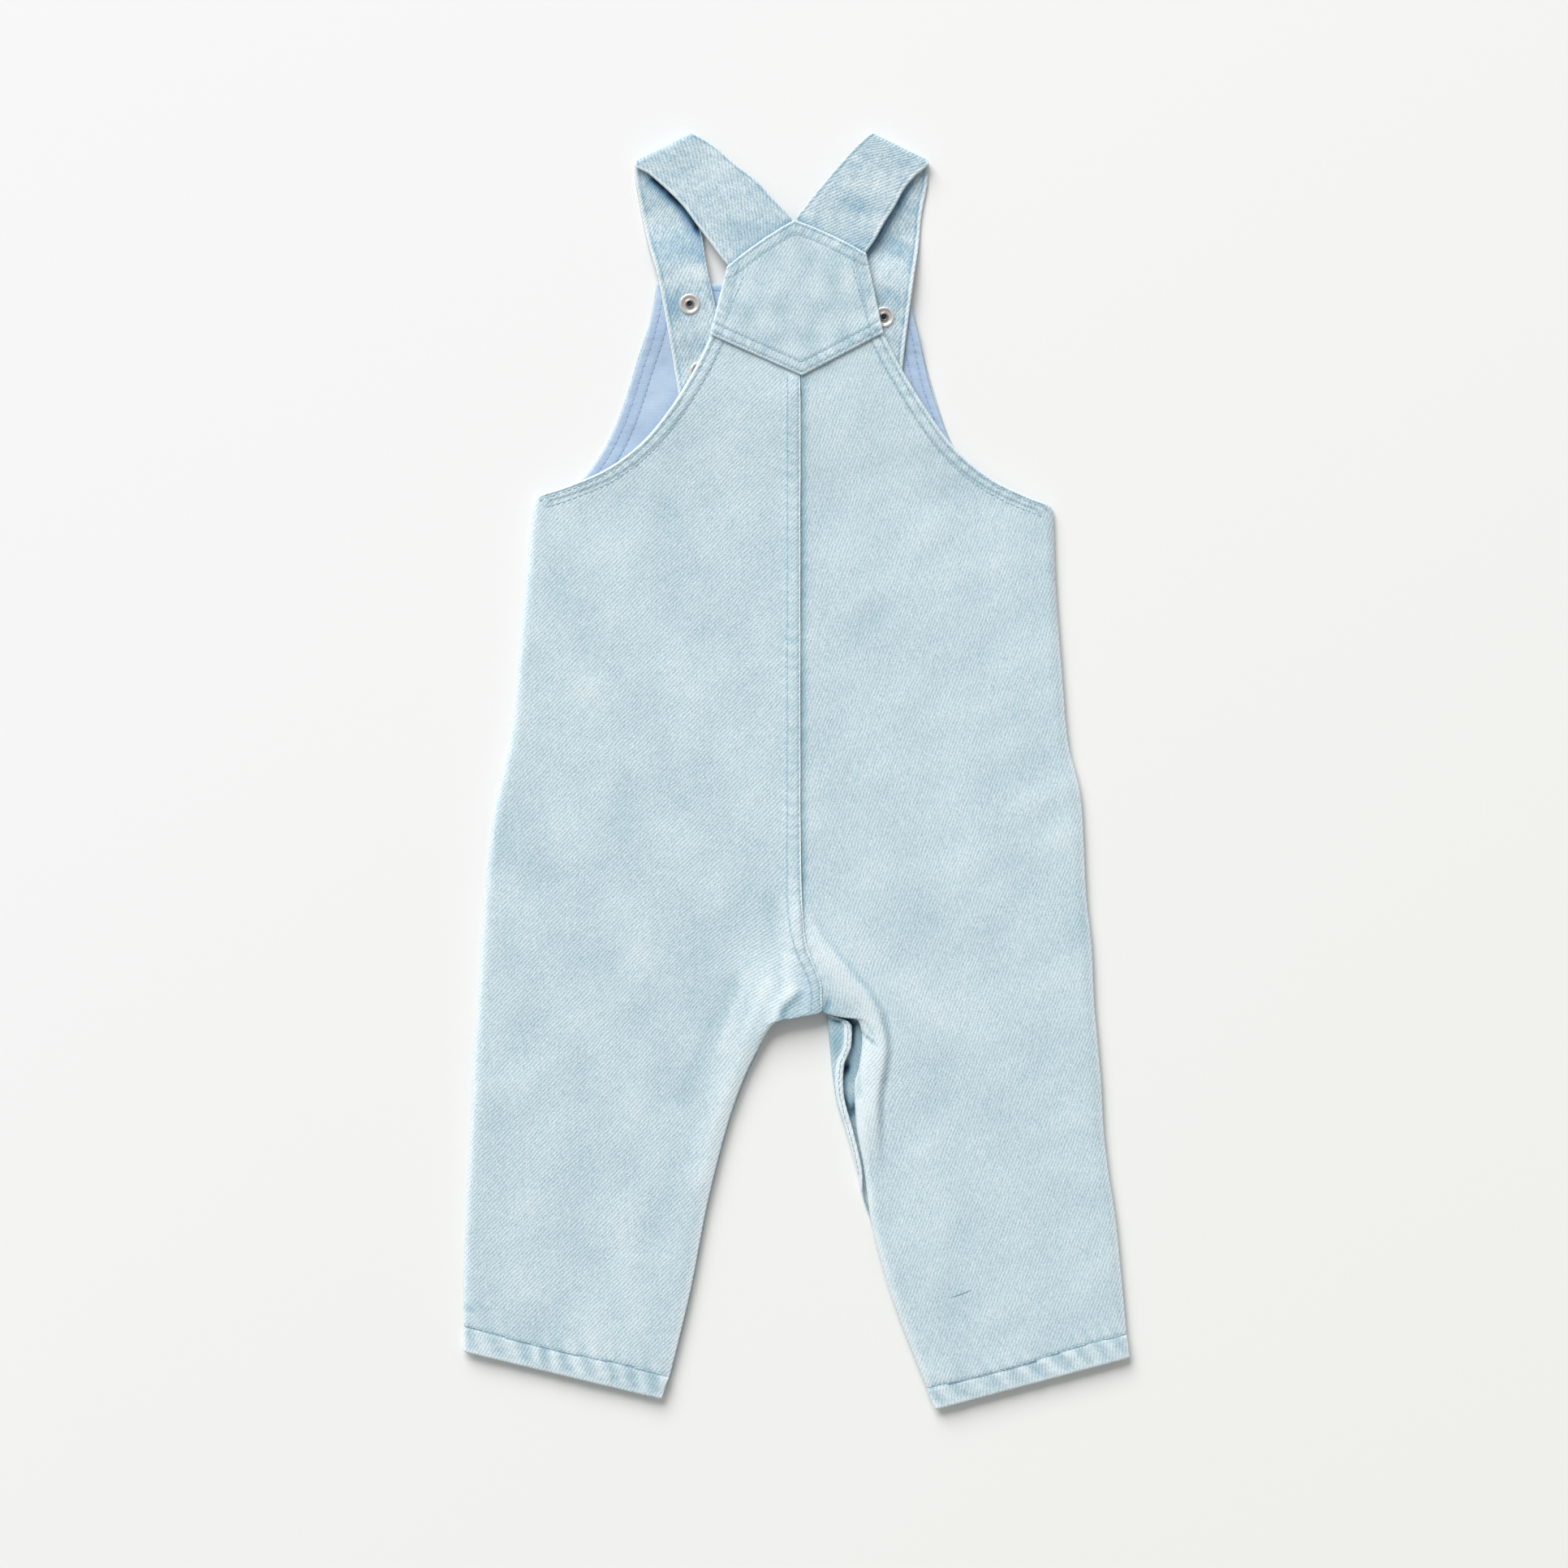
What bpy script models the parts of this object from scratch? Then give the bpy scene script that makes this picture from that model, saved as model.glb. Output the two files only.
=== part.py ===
"""Baby's denim overalls laid flat on a table, back side up.

X runs to the right, Y up towards the shoulder straps, Z up from the table.
The origin is on the table at the middle of the garment's outline. All sizes
below are millimetres and are turned into metres when a mesh is made.
"""

import math

import bpy
import numpy as np

MM = 0.001

# Driving dimensions
GAP = 0.3                    # air between two pieces that lie on each other
CLOTH = 1.0                  # wall of a single layer of denim
TURNED = 1.5                 # wall where the cloth is turned in at a hem
FACING = 1.0                 # wall of the bib's chambray facing
STRAP = 1.6                  # a strap is two layers of denim
YOKE = 1.4                   # the yoke is two layers of denim
LAID_TOP = 5.0               # top of the back, laid over the front, body and legs
NECK_TOP = 7.2               # top of the back where it crosses the strap ends
NECK_START, NECK_END = 120.0, 176.0
LAP_RISE = 1.3               # the left back laps over the right at the centre back
LAP_FLAT, LAP_FADE = 5.0, 3.5   # raised edge of the lap, and the slope beside it
ROLL = 4.5                   # width over which an edge rolls down to the front
STUD_RADIUS = 4.88
STUD_HEIGHT = 0.8
BIB_LIFT = STUD_HEIGHT + GAP  # the bib lies on the caps of its studs
LIFT_START, LIFT_END = 186.0, 204.0
BIB_TOP_LEFT, BIB_TOP_RIGHT = 226.9, 220.5
FOLD_RADIUS = 2.3            # middle of the strap's wall where it folds back
FOLD_ANGLES = (90, 60, 30, 0, -30, -60, -90)
DROP_START, DROP_LENGTH = 2.0, 28.0   # past the bib's top a strap sinks to the table

SPREAD_TOP = CLOTH + GAP + FACING + GAP        # lowest place of a strap on the bib
YOKE_TOP = NECK_TOP + GAP + YOKE
OUTER_STEPS = (0.0, 0.5, 1.8, 4.5)             # columns beside a rolled edge
INNER_STEPS = (0.0, 0.5, 1.8, 4.5, 8.5)
BAND_WIDTH = 7.0                               # turned band along the armholes
BAND_SHARE = 0.6                               # its extra thickness, of a hem's
BACK_MIDDLE = 5                                # columns between the two rolled edges
FACING_COLUMNS, STRAP_COLUMNS = 9, 5
YOKE_ALONG, YOKE_ACROSS = 6, 8

DENIM = (0.535, 0.665, 0.735)
CHAMBRAY = (0.450, 0.590, 0.760)
NICKEL = (0.72, 0.71, 0.69)

# One row for each section of a back half, from the neck down to the hem.
# outer: side or armhole edge; inner: centre back, crotch edge, then inseam.
# drop: how far that edge lies below the laid top; roll: width of the inner roll;
# lap: share of the centre-back lap's rise.
# outer_x, outer_y, outer_drop, inner_x, inner_y, inner_drop, roll, lap
BACK_LEFT = (
    (-36.4, 207.2, 0.0, 2.3, 189.5, 0.0, 4.5, 0),
    (-39.2, 200.8, 0.1, 2.3, 182.6, 0.0, 4.5, 0),
    (-44.8, 189.0, 0.2, 2.3, 174.5, 0.0, 4.5, 1),
    (-58.2, 167.0, 0.7, 2.3, 148.0, 0.0, 4.5, 1),
    (-72.4, 150.4, 0.7, 2.3, 127.0, 0.0, 4.5, 1),
    (-89.8, 138.2, 0.7, 2.3, 100.0, 0.0, 4.5, 1),
    (-110.5, 129.9, 0.9, 2.3, 77.0, 0.0, 4.5, 1),
    (-118.9, 127.2, 2.2, 2.3, 69.0, 0.0, 4.5, 1),
    (-120.6, 124.5, 3.3, 2.3, 64.0, 0.0, 4.5, 1),
    (-124.2, 92.0, 3.3, 2.3, 33.0, 0.0, 4.5, 1),
    (-129.2, 38.0, 3.3, 2.3, -10.0, 0.0, 4.5, 1),
    (-131.8, 16.0, 3.3, 2.4, -28.0, 0.0, 4.5, 1),
    (-139.0, -17.0, 3.3, 2.8, -50.0, 0.0, 4.5, 1),
    (-143.2, -54.0, 3.3, 4.6, -76.0, 0.0, 4.5, 1),
    (-144.6, -72.0, 3.3, 8.6, -89.5, 0.0, 4.5, 1),
    (-145.4, -85.0, 3.3, 12.1, -100.0, 0.8, 4.5, 0.6),
    (-146.2, -97.0, 3.3, 12.0, -110.8, 3.2, 4.5, 0),
    (-147.0, -109.0, 3.3, 1.5, -113.6, 3.3, 4.5, 0),
    (-147.8, -120.0, 3.3, -8.4, -115.6, 3.3, 4.5, 0),
    (-148.7, -133.0, 3.3, -18.6, -131.0, 3.3, 5.0, 0),
    (-149.8, -156.0, 3.3, -29.0, -156.0, 3.3, 5.0, 0),
    (-152.0, -198.0, 3.3, -40.2, -198.0, 3.3, 4.5, 0),
    (-153.4, -238.0, 3.3, -48.4, -240.0, 3.3, 4.5, 0),
    (-153.2, -255.6, 3.3, -57.9, -279.0, 3.3, 4.5, 0),
    (-153.3, -257.0, 2.8, -58.4, -280.4, 2.8, 4.5, 0),
    (-153.8, -268.1, 2.8, -61.6, -290.2, 2.8, 4.5, 0),
)

# The right half runs on under the lap. Below the crotch its inner edge is the
# far side of the open inseam, so the roll there is a wide fold.
BACK_RIGHT = (
    (38.8, 204.6, 0.0, 2.6, 189.5, 0.0, 4.5, 0),
    (40.7, 201.6, 0.1, 2.6, 182.6, 0.0, 4.5, 0),
    (46.6, 190.0, 0.2, 2.6, 174.5, 0.0, 4.5, 0),
    (60.6, 166.8, 0.7, -2.2, 148.0, 0.0, 4.5, 0),
    (73.6, 149.2, 0.7, -2.2, 127.0, 0.0, 4.5, 0),
    (92.6, 133.9, 0.7, -2.2, 100.0, 0.0, 4.5, 0),
    (110.0, 125.8, 0.9, -2.2, 77.0, 0.0, 4.5, 0),
    (117.4, 122.8, 2.2, -2.2, 69.0, 0.0, 4.5, 0),
    (119.1, 120.2, 3.3, -2.2, 64.0, 0.0, 4.5, 0),
    (120.4, 88.0, 3.3, -2.2, 33.0, 0.0, 4.5, 0),
    (123.4, 44.0, 3.3, -2.2, -4.0, 0.0, 4.5, 0),
    (126.0, 14.0, 3.3, -2.2, -26.0, 0.0, 4.5, 0),
    (132.2, -14.0, 3.3, -2.0, -48.0, 0.0, 4.5, 0),
    (134.6, -58.0, 3.3, -0.6, -74.0, 0.0, 4.5, 0),
    (137.0, -80.0, 3.3, 7.6, -88.0, 0.0, 4.5, 0),
    (137.6, -92.0, 3.3, 12.8, -99.0, 0.0, 4.5, 0),
    (138.0, -103.0, 3.3, 12.9, -110.4, 0.2, 4.5, 0),
    (138.6, -112.0, 3.3, 20.0, -113.4, 0.2, 4.5, 0),
    (139.4, -120.0, 3.3, 28.6, -115.0, 0.6, 5.5, 0),
    (140.0, -127.0, 3.3, 30.8, -124.0, 3.5, 9.5, 0),
    (140.8, -136.0, 3.3, 29.4, -136.0, 3.5, 10.5, 0),
    (141.6, -146.0, 3.3, 27.2, -146.0, 3.5, 11.0, 0),
    (142.4, -163.0, 3.3, 28.4, -163.0, 3.5, 9.5, 0),
    (144.6, -184.0, 3.3, 31.6, -184.0, 3.5, 7.5, 0),
    (148.0, -206.0, 3.3, 34.8, -207.0, 3.3, 5.0, 0),
    (151.2, -238.0, 3.3, 43.5, -240.0, 3.3, 4.5, 0),
    (153.2, -260.2, 3.3, 60.4, -284.4, 3.3, 4.5, 0),
    (153.4, -261.8, 2.8, 60.8, -286.0, 2.8, 4.5, 0),
    (154.5, -271.0, 2.8, 64.3, -295.1, 2.8, 4.5, 0),
)

# One row for each section of a front half, bib to hem, flat on the table.
# curl: length of cloth that rolls up and back over itself at the inner edge.
# outer_x, outer_y, inner_x, inner_y, curl
FRONT_LEFT = (
    (-63.8, 226.9, -5.6, 223.7, 0),
    (-67.0, 209.0, -5.0, 207.0, 0),
    (-72.4, 192.4, -4.7, 188.0, 0),
    (-79.1, 170.6, -4.2, 164.0, 0),
    (-84.4, 157.1, -3.9, 148.0, 0),
    (-90.4, 145.9, -3.6, 132.0, 0),
    (-99.4, 134.3, -3.3, 113.0, 0),
    (-110.0, 129.6, -3.0, 97.0, 0),
    (-119.0, 126.8, -2.7, 83.0, 0),
    (-120.8, 122.0, -2.4, 74.0, 0),
    (-123.8, 92.0, -1.9, 46.0, 0),
    (-128.8, 38.0, -1.0, 6.0, 0),
    (-131.4, 16.0, -0.5, -16.0, 0),
    (-138.6, -17.0, 0.3, -46.0, 0),
    (-142.8, -54.0, 1.4, -78.0, 0),
    (-144.8, -80.0, 2.4, -101.0, 0),
    (-146.0, -100.0, 2.7, -108.6, 0),
    (-147.0, -115.0, -8.2, -113.4, 0),
    (-148.3, -133.0, -18.2, -131.6, 0),
    (-149.4, -156.0, -28.4, -156.2, 0),
    (-151.6, -198.0, -39.8, -198.2, 0),
    (-153.0, -238.0, -48.0, -240.0, 0),
    (-152.9, -255.8, -57.5, -279.2, 0),
    (-153.0, -257.2, -58.0, -280.6, 0),
    (-153.5, -268.0, -61.2, -290.1, 0),
)
FRONT_RIGHT = (
    (52.9, 220.5, -5.3, 223.7, 1.2),
    (55.6, 208.0, -4.7, 207.0, 1.2),
    (59.9, 190.0, -4.4, 188.0, 1.2),
    (64.8, 172.5, -3.9, 164.0, 1.2),
    (71.3, 153.8, -3.6, 148.0, 1.2),
    (77.2, 144.2, -3.3, 132.0, 1.2),
    (86.5, 135.2, -3.0, 113.0, 1.2),
    (101.0, 127.6, -2.7, 97.0, 1.2),
    (116.6, 121.9, -2.4, 83.0, 1.2),
    (118.9, 117.0, -2.1, 74.0, 1.2),
    (120.0, 88.0, -1.6, 46.0, 1.2),
    (123.0, 44.0, -0.7, 6.0, 1.2),
    (125.6, 14.0, -0.2, -16.0, 1.2),
    (131.8, -14.0, 0.6, -46.0, 1.2),
    (134.2, -58.0, 1.7, -78.0, 1.2),
    (136.8, -80.0, 2.7, -100.0, 1.2),
    (137.4, -95.0, 6.0, -108.4, 1.2),
    (137.7, -103.0, 12.9, -109.4, 1.2),
    (138.0, -107.5, 13.8, -111.4, 4.5),
    (138.3, -111.5, 14.4, -113.8, 9.5),
    (138.7, -116.5, 15.0, -117.4, 15.0),
    (139.7, -127.0, 15.9, -127.0, 13.8),
    (140.4, -136.0, 16.6, -136.0, 9.8),
    (141.4, -150.0, 18.5, -150.0, 7.8),
    (142.3, -166.0, 23.1, -166.0, 6.4),
    (144.3, -184.0, 28.2, -184.0, 5.6),
    (146.2, -197.0, 31.1, -197.0, 3.6),
    (148.0, -208.0, 35.0, -209.0, 1.2),
    (150.8, -238.0, 43.9, -240.0, 1.2),
    (152.8, -260.4, 60.8, -284.6, 1.2),
    (153.0, -262.0, 61.2, -286.2, 1.2),
    (154.1, -270.9, 64.7, -295.0, 1.2),
)
CURL_RADIUS = 1.8

# One row for each stretch of a fold in the back: start, end, half width, rise
FOLDS = (
    (26.0, -100.0, 36.0, -110.0, 6.0, 1.2),
    (36.0, -110.0, 40.5, -120.0, 6.5, 1.2),
    (40.5, -120.0, 40.8, -131.0, 6.5, 1.2),
    (40.8, -131.0, 37.8, -150.0, 6.5, 1.0),
    (37.8, -150.0, 38.2, -178.0, 5.5, 0.8),
    (-6.0, -72.0, -18.0, -112.0, 9.0, 0.6),
    (-18.0, -112.0, -30.0, -150.0, 9.0, 0.7),
    (-7.5, -114.0, 1.5, -101.0, 2.6, -0.8),
)

# Left and right edge of the bib facing, from the bib's top down
FACING_ROWS = (
    (-63.2, 226.3, 52.4, 219.9),
    (-66.2, 211.0, 54.3, 211.0),
    (-68.6, 201.0, 57.2, 200.3),
    (-72.0, 191.0, 59.6, 189.0),
    (-75.6, 180.0, 62.4, 177.0),
    (-79.4, 168.0, 66.3, 165.8),
    (-84.0, 156.6, 70.7, 153.9),
    (-90.0, 145.6, 77.0, 143.0),
    (-96.4, 136.6, 86.0, 134.4),
    (-104.0, 131.0, 98.0, 127.6),
    (-109.0, 124.0, 107.0, 120.0),
    (-109.0, 116.0, 107.0, 113.0),
)

# A strap's two edges, from its end inside the yoke to the shoulder fold
# outer_x, outer_y, inner_x, inner_y
STRAP_LEFT_UPPER = (
    (-25.6, 227.1, -1.0, 249.5),
    (-31.1, 232.9, -1.9, 254.6),
    (-39.4, 243.8, -10.5, 264.4),
    (-45.8, 252.5, -18.8, 273.4),
    (-52.0, 260.9, -27.5, 280.0),
    (-61.2, 270.1, -34.8, 286.5),
    (-67.5, 276.6, -40.8, 291.0),
)
STRAP_LEFT_FOLD = (-74.3, 281.5, -46.9, 295.2)
STRAP_LEFT_LOWER = (
    (-73.8, 270.5, -44.8, 281.5),
    (-70.9, 255.0, -44.3, 260.6),
    (-68.3, 243.8, -42.8, 246.0),
    (-63.8, 228.4, -40.1, 229.5),
    (-60.8, 213.0, -36.6, 214.1),
    (-57.0, 190.9, -33.2, 192.0),
    (-54.6, 176.0, -31.0, 176.8),
    (-53.6, 169.9, -30.2, 170.6),
)
STRAP_RIGHT_UPPER = (
    (27.8, 232.9, 0.6, 249.5),
    (32.6, 239.3, 0.5, 254.6),
    (36.8, 245.2, 5.0, 261.4),
    (40.8, 252.5, 11.3, 269.3),
    (45.8, 260.5, 19.0, 278.5),
    (50.7, 269.3, 26.6, 287.0),
    (55.4, 275.8, 30.6, 291.0),
)
STRAP_RIGHT_FOLD = (61.9, 282.0, 34.7, 295.2)
STRAP_RIGHT_LOWER = (
    (61.2, 270.5, 32.8, 281.5),
    (58.5, 256.5, 32.6, 261.8),
    (57.3, 243.8, 33.0, 246.0),
    (55.1, 228.8, 31.1, 230.3),
    (52.9, 213.0, 28.9, 214.9),
    (49.9, 188.3, 26.3, 190.1),
    (48.4, 172.5, 24.8, 174.4),
    (47.8, 165.8, 24.2, 167.6),
)

# Corners of the six-sided yoke
YOKE_APEX, YOKE_TIP = (-0.4, 254.1), (3.0, 182.3)
YOKE_LEFT_TOP, YOKE_LEFT_LOW = (-31.6, 232.6), (-39.5, 201.3)
YOKE_RIGHT_TOP, YOKE_RIGHT_LOW = (32.7, 238.6), (40.6, 202.0)
YOKE_BOW = 1.0               # how far its upper edges bow outwards

# Press studs: x, y of each fastened (upper) stud and of the spare one below
STUDS = {
    "left_upper": (-48.8, 215.6),
    "left_lower": (-44.1, 184.4),
    "right_upper": (40.9, 209.6),
    "right_lower": (37.2, 178.3),
}
# Radius and height of the ring's turned profile, from the hole over the rim
RING_PROFILE = ((0.9, 0.7), (1.75, 0.8), (2.1, 0.35), (3.4, 0.35),
                (3.9, 0.8), (4.6, 0.7), (STUD_RADIUS, 0.3), (STUD_RADIUS, 0.0), (0.9, 0.0))
CAP_PROFILE = ((0.0, 0.8), (STUD_RADIUS, 0.8), (STUD_RADIUS, 0.35), (4.2, 0.0), (0.0, 0.0))
RING_STEPS = 18


def smooth(value):
    """Ease from 0 to 1 with level ends."""
    t = np.clip(value, 0.0, 1.0)
    return t * t * (3.0 - 2.0 * t)


def quarter_round(value):
    """Quarter of a circle: steep at 0, level at 1."""
    t = np.clip(value, 0.0, 1.0)
    return np.sqrt(1.0 - (1.0 - t) ** 2)


def laid_top(y):
    """Height of the back's outer face: level, and higher over the strap ends."""
    return LAID_TOP + (NECK_TOP - LAID_TOP) * smooth((y - NECK_START) / (NECK_END - NECK_START))


def bib_lift(y):
    """How far the bib is lifted by the caps of its studs."""
    return BIB_LIFT * smooth((y - LIFT_START) / (LIFT_END - LIFT_START))


def strap_floor(y, bib_top):
    """Underside of a strap's lower layer: on the facing, then down to the table."""
    on_bib = SPREAD_TOP + bib_lift(y)
    return on_bib * (1.0 - smooth((y - bib_top - DROP_START) / DROP_LENGTH))


def rows_between(table, per_span):
    """Rows through a table's rows, by a cubic that never overshoots them."""
    knots = np.array(table, dtype=float)
    steps = np.diff(knots, axis=0)
    slopes = np.zeros_like(knots)
    product = steps[:-1] * steps[1:]
    total = steps[:-1] + steps[1:]
    same_way = product > 0.0
    slopes[1:-1][same_way] = 2.0 * product[same_way] / total[same_way]
    slopes[0], slopes[-1] = steps[0], steps[-1]
    rows = []
    for start in range(len(knots) - 1):
        for part in range(per_span):
            t = part / per_span
            rows.append((1 + 2 * t) * (1 - t) ** 2 * knots[start]
                        + t * (1 - t) ** 2 * slopes[start]
                        + t * t * (3 - 2 * t) * knots[start + 1]
                        + t * t * (t - 1) * slopes[start + 1])
    rows.append(knots[-1])
    return np.array(rows)


def columns_across(width, middle):
    """Distances from the outer edge: close together at both rolled edges."""
    near, far = np.array(OUTER_STEPS), width - np.array(INNER_STEPS[::-1])
    inside = np.linspace(near[-1], far[0], middle + 2)[1:-1]
    return np.concatenate([near, inside, far])


def fold_rise(x, y):
    """Height that the folds add at each point: the largest ridge and trough."""
    ridge = np.zeros_like(x)
    trough = np.zeros_like(x)
    for x0, y0, x1, y1, half_width, rise in FOLDS:
        run = (x1 - x0) ** 2 + (y1 - y0) ** 2
        along = np.clip(((x - x0) * (x1 - x0) + (y - y0) * (y1 - y0)) / run, 0.0, 1.0)
        away = np.hypot(x - x0 - along * (x1 - x0), y - y0 - along * (y1 - y0))
        shape = rise * np.exp(-(away / half_width) ** 2)
        ridge = np.maximum(ridge, shape)
        trough = np.minimum(trough, shape)
    return ridge + trough


def make_material(name, colour, roughness, metallic):
    material = bpy.data.materials.new(name)
    material.use_nodes = True
    shader = material.node_tree.nodes["Principled BSDF"]
    shader.inputs["Base Color"].default_value = (*colour, 1.0)
    shader.inputs["Roughness"].default_value = roughness
    shader.inputs["Metallic"].default_value = metallic
    return material


def add_object(name, mesh, finish):
    """Link a mesh as a named object with a material of its own."""
    item = bpy.data.objects.new(name, mesh)
    colour, roughness, metallic = finish
    mesh.materials.append(make_material(name, colour, roughness, metallic))
    PARTS.objects.link(item)
    return item


def sheet(name, grid, wall, finish, outward_up=True, thick_share=None, centred=False):
    """A grid of points (mm) as an open sheet, given its wall by Solidify.

    The grid is the outer face, or the middle of the wall where centred is set.
    thick_share gives each point its place between a single and a turned wall.
    """
    count, across = grid.shape[:2]
    index = np.arange(count * across).reshape(count, across)
    corners = np.stack([index[:-1, :-1], index[1:, :-1], index[1:, 1:], index[:-1, 1:]], axis=-1)
    faces = corners.reshape(-1, 4)
    first = np.cross(grid[1, 0] - grid[0, 0], grid[0, 1] - grid[0, 0])
    if (first[2] > 0) != outward_up:
        faces = faces[:, ::-1]
    mesh = bpy.data.meshes.new(name)
    mesh.from_pydata((grid.reshape(-1, 3) * MM).tolist(), [], faces.tolist())
    item = add_object(name, mesh, finish)
    shell = item.modifiers.new("wall", "SOLIDIFY")
    shell.offset = 0.0 if centred else -1.0
    shell.thickness = wall * MM
    if thick_share is not None:
        group = item.vertex_groups.new(name="turned")
        for vertex, share in enumerate(thick_share.reshape(-1)):
            group.add([vertex], float(share), "REPLACE")
        shell.thickness = TURNED * MM
        shell.vertex_group = group.name
        shell.thickness_vertex_group = wall / TURNED
    return item


def make_back(name, table, hem_rows, armhole_rows):
    """Back half: a laid panel whose edges roll down to the front."""
    rows = rows_between(table, 2)
    outer, inner = rows[:, 0:2], rows[:, 3:5]
    width = np.linalg.norm(inner - outer, axis=1)
    from_outer = np.array([columns_across(w, BACK_MIDDLE) for w in width])
    from_inner = width[:, None] - from_outer
    share = (from_outer / width[:, None])[..., None]
    plan = outer[:, None] + (inner - outer)[:, None] * share
    level = laid_top(plan[..., 1])
    top = level + fold_rise(plan[..., 0], plan[..., 1])
    top += LAP_RISE * rows[:, 7:8] * smooth((LAP_FLAT + LAP_FADE - from_inner) / LAP_FADE)
    outer_low = level - rows[:, 2:3]
    inner_low = level - rows[:, 5:6] + LAP_RISE * rows[:, 7:8]
    height = top - (top - outer_low) * (1.0 - quarter_round(from_outer / ROLL)) \
        - (top - inner_low) * (1.0 - quarter_round(from_inner / rows[:, 6:7]))
    turned = np.zeros_like(height)
    turned[:armhole_rows] = np.where(from_outer[:armhole_rows] < BAND_WIDTH, BAND_SHARE, 0.0)
    turned[-hem_rows:] = 1.0
    grid = np.concatenate([plan, height[..., None]], axis=-1)
    return sheet(name, grid, CLOTH, (DENIM, 0.9, 0.0), thick_share=turned)


def make_front(name, table, hem_rows, columns, curl_columns):
    """Front half: flat on the table, its inner edge curled back where the table says."""
    rows = rows_between(table, 1)
    outer, inner, curl = rows[:, 0:2], rows[:, 2:4], rows[:, 4:5]
    along = inner - outer
    width = np.linalg.norm(along, axis=1, keepdims=True)
    along = along / width
    turn_end = np.minimum(curl / CURL_RADIUS, math.pi / 2)
    flat_width = width - CURL_RADIUS * np.sin(turn_end) * (curl > 0)
    flat = flat_width * np.linspace(0.0, 1.0, columns)
    reach, rise = flat, np.zeros_like(flat)
    if curl_columns:
        arc = curl * np.linspace(0.0, 1.0, curl_columns + 1)[1:]
        angle = np.minimum(arc / CURL_RADIUS, math.pi)
        back = arc - CURL_RADIUS * angle
        reach = np.concatenate([flat, flat_width + CURL_RADIUS * np.sin(angle) - back], axis=1)
        rise = np.concatenate([rise, CURL_RADIUS * (1.0 - np.cos(angle))], axis=1)
    plan = outer[:, None] + along[:, None] * reach[..., None]
    height = rise + bib_lift(plan[..., 1])
    turned = np.zeros_like(height)
    turned[-hem_rows:] = 1.0
    grid = np.concatenate([plan, height[..., None]], axis=-1)
    return sheet(name, grid, CLOTH, (DENIM, 0.9, 0.0), outward_up=False, thick_share=turned)


def make_facing():
    rows = rows_between(FACING_ROWS, 1)
    share = np.linspace(0.0, 1.0, FACING_COLUMNS)[:, None]
    plan = rows[:, None, 0:2] + (rows[:, 2:4] - rows[:, 0:2])[:, None] * share
    height = CLOTH + GAP + FACING + bib_lift(plan[..., 1])
    grid = np.concatenate([plan, height[..., None]], axis=-1)
    return sheet("bib_facing", grid, FACING, (CHAMBRAY, 0.85, 0.0))


def make_yoke():
    """Six-sided patch: columns run from its lower edge to its upper one."""
    half = np.linspace(0.0, 1.0, YOKE_ALONG)[:, None]
    lows = [np.array(point) for point in (YOKE_LEFT_LOW, YOKE_TIP, YOKE_RIGHT_LOW)]
    tops = [np.array(point) for point in (YOKE_LEFT_TOP, YOKE_APEX, YOKE_RIGHT_TOP)]
    bow = 4.0 * YOKE_BOW * half * (1.0 - half)
    lower, upper = [], []
    for side in (0, 1):
        start = 1 if side else 0
        run = tops[side + 1] - tops[side]
        normal = np.array([-run[1], run[0]]) / np.linalg.norm(run)
        lower.append((lows[side] + (lows[side + 1] - lows[side]) * half)[start:])
        upper.append((tops[side] + run * half + normal * bow)[start:])
    lower, upper = np.concatenate(lower), np.concatenate(upper)
    share = np.linspace(0.0, 1.0, YOKE_ACROSS)[:, None]
    plan = lower[:, None] + (upper - lower)[:, None] * share
    height = np.full(plan.shape[:2], YOKE_TOP)
    grid = np.concatenate([plan, height[..., None]], axis=-1)
    return sheet("back_yoke", grid, YOKE, (DENIM, 0.9, 0.0))


def make_strap(name, upper, fold, lower, bib_top):
    """Strap: from inside the yoke, over an oblique fold, down onto the bib."""
    half_wall = STRAP / 2
    top_rows = rows_between(upper, 2)
    run = np.linspace(0.0, 1.0, len(top_rows))
    yoke_level = NECK_TOP - half_wall
    fold_level = half_wall + 2 * FOLD_RADIUS
    top_height = yoke_level + (fold_level - yoke_level) * smooth(run)
    start, end = np.array(fold[0:2]), np.array(fold[2:4])
    line = (end - start) / np.linalg.norm(end - start)
    outward = np.array([-line[1], line[0]])
    outward = outward if outward[1] > 0 else -outward
    edges, heights = [top_rows], [top_height]
    for degrees in FOLD_ANGLES:
        angle = math.radians(degrees)
        shift = (FOLD_RADIUS * math.cos(angle) - FOLD_RADIUS - half_wall) * outward
        edges.append(np.concatenate([start + shift, end + shift])[None])
        heights.append(np.array([half_wall + FOLD_RADIUS * (1.0 + math.sin(angle))]))
    low_rows = rows_between(lower, 2)
    edges.append(low_rows)
    edges = np.concatenate(edges)
    share = np.linspace(0.0, 1.0, STRAP_COLUMNS)[:, None]
    plan = edges[:, None, 0:2] + (edges[:, 2:4] - edges[:, 0:2])[:, None] * share
    height = np.empty(plan.shape[:2])
    high = len(edges) - len(low_rows)
    height[:high] = np.concatenate(heights)[:, None]
    height[high:] = half_wall + strap_floor(plan[high:, :, 1], bib_top)
    grid = np.concatenate([plan, height[..., None]], axis=-1)
    return sheet(name, grid, STRAP, (DENIM, 0.9, 0.0), centred=True)


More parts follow.
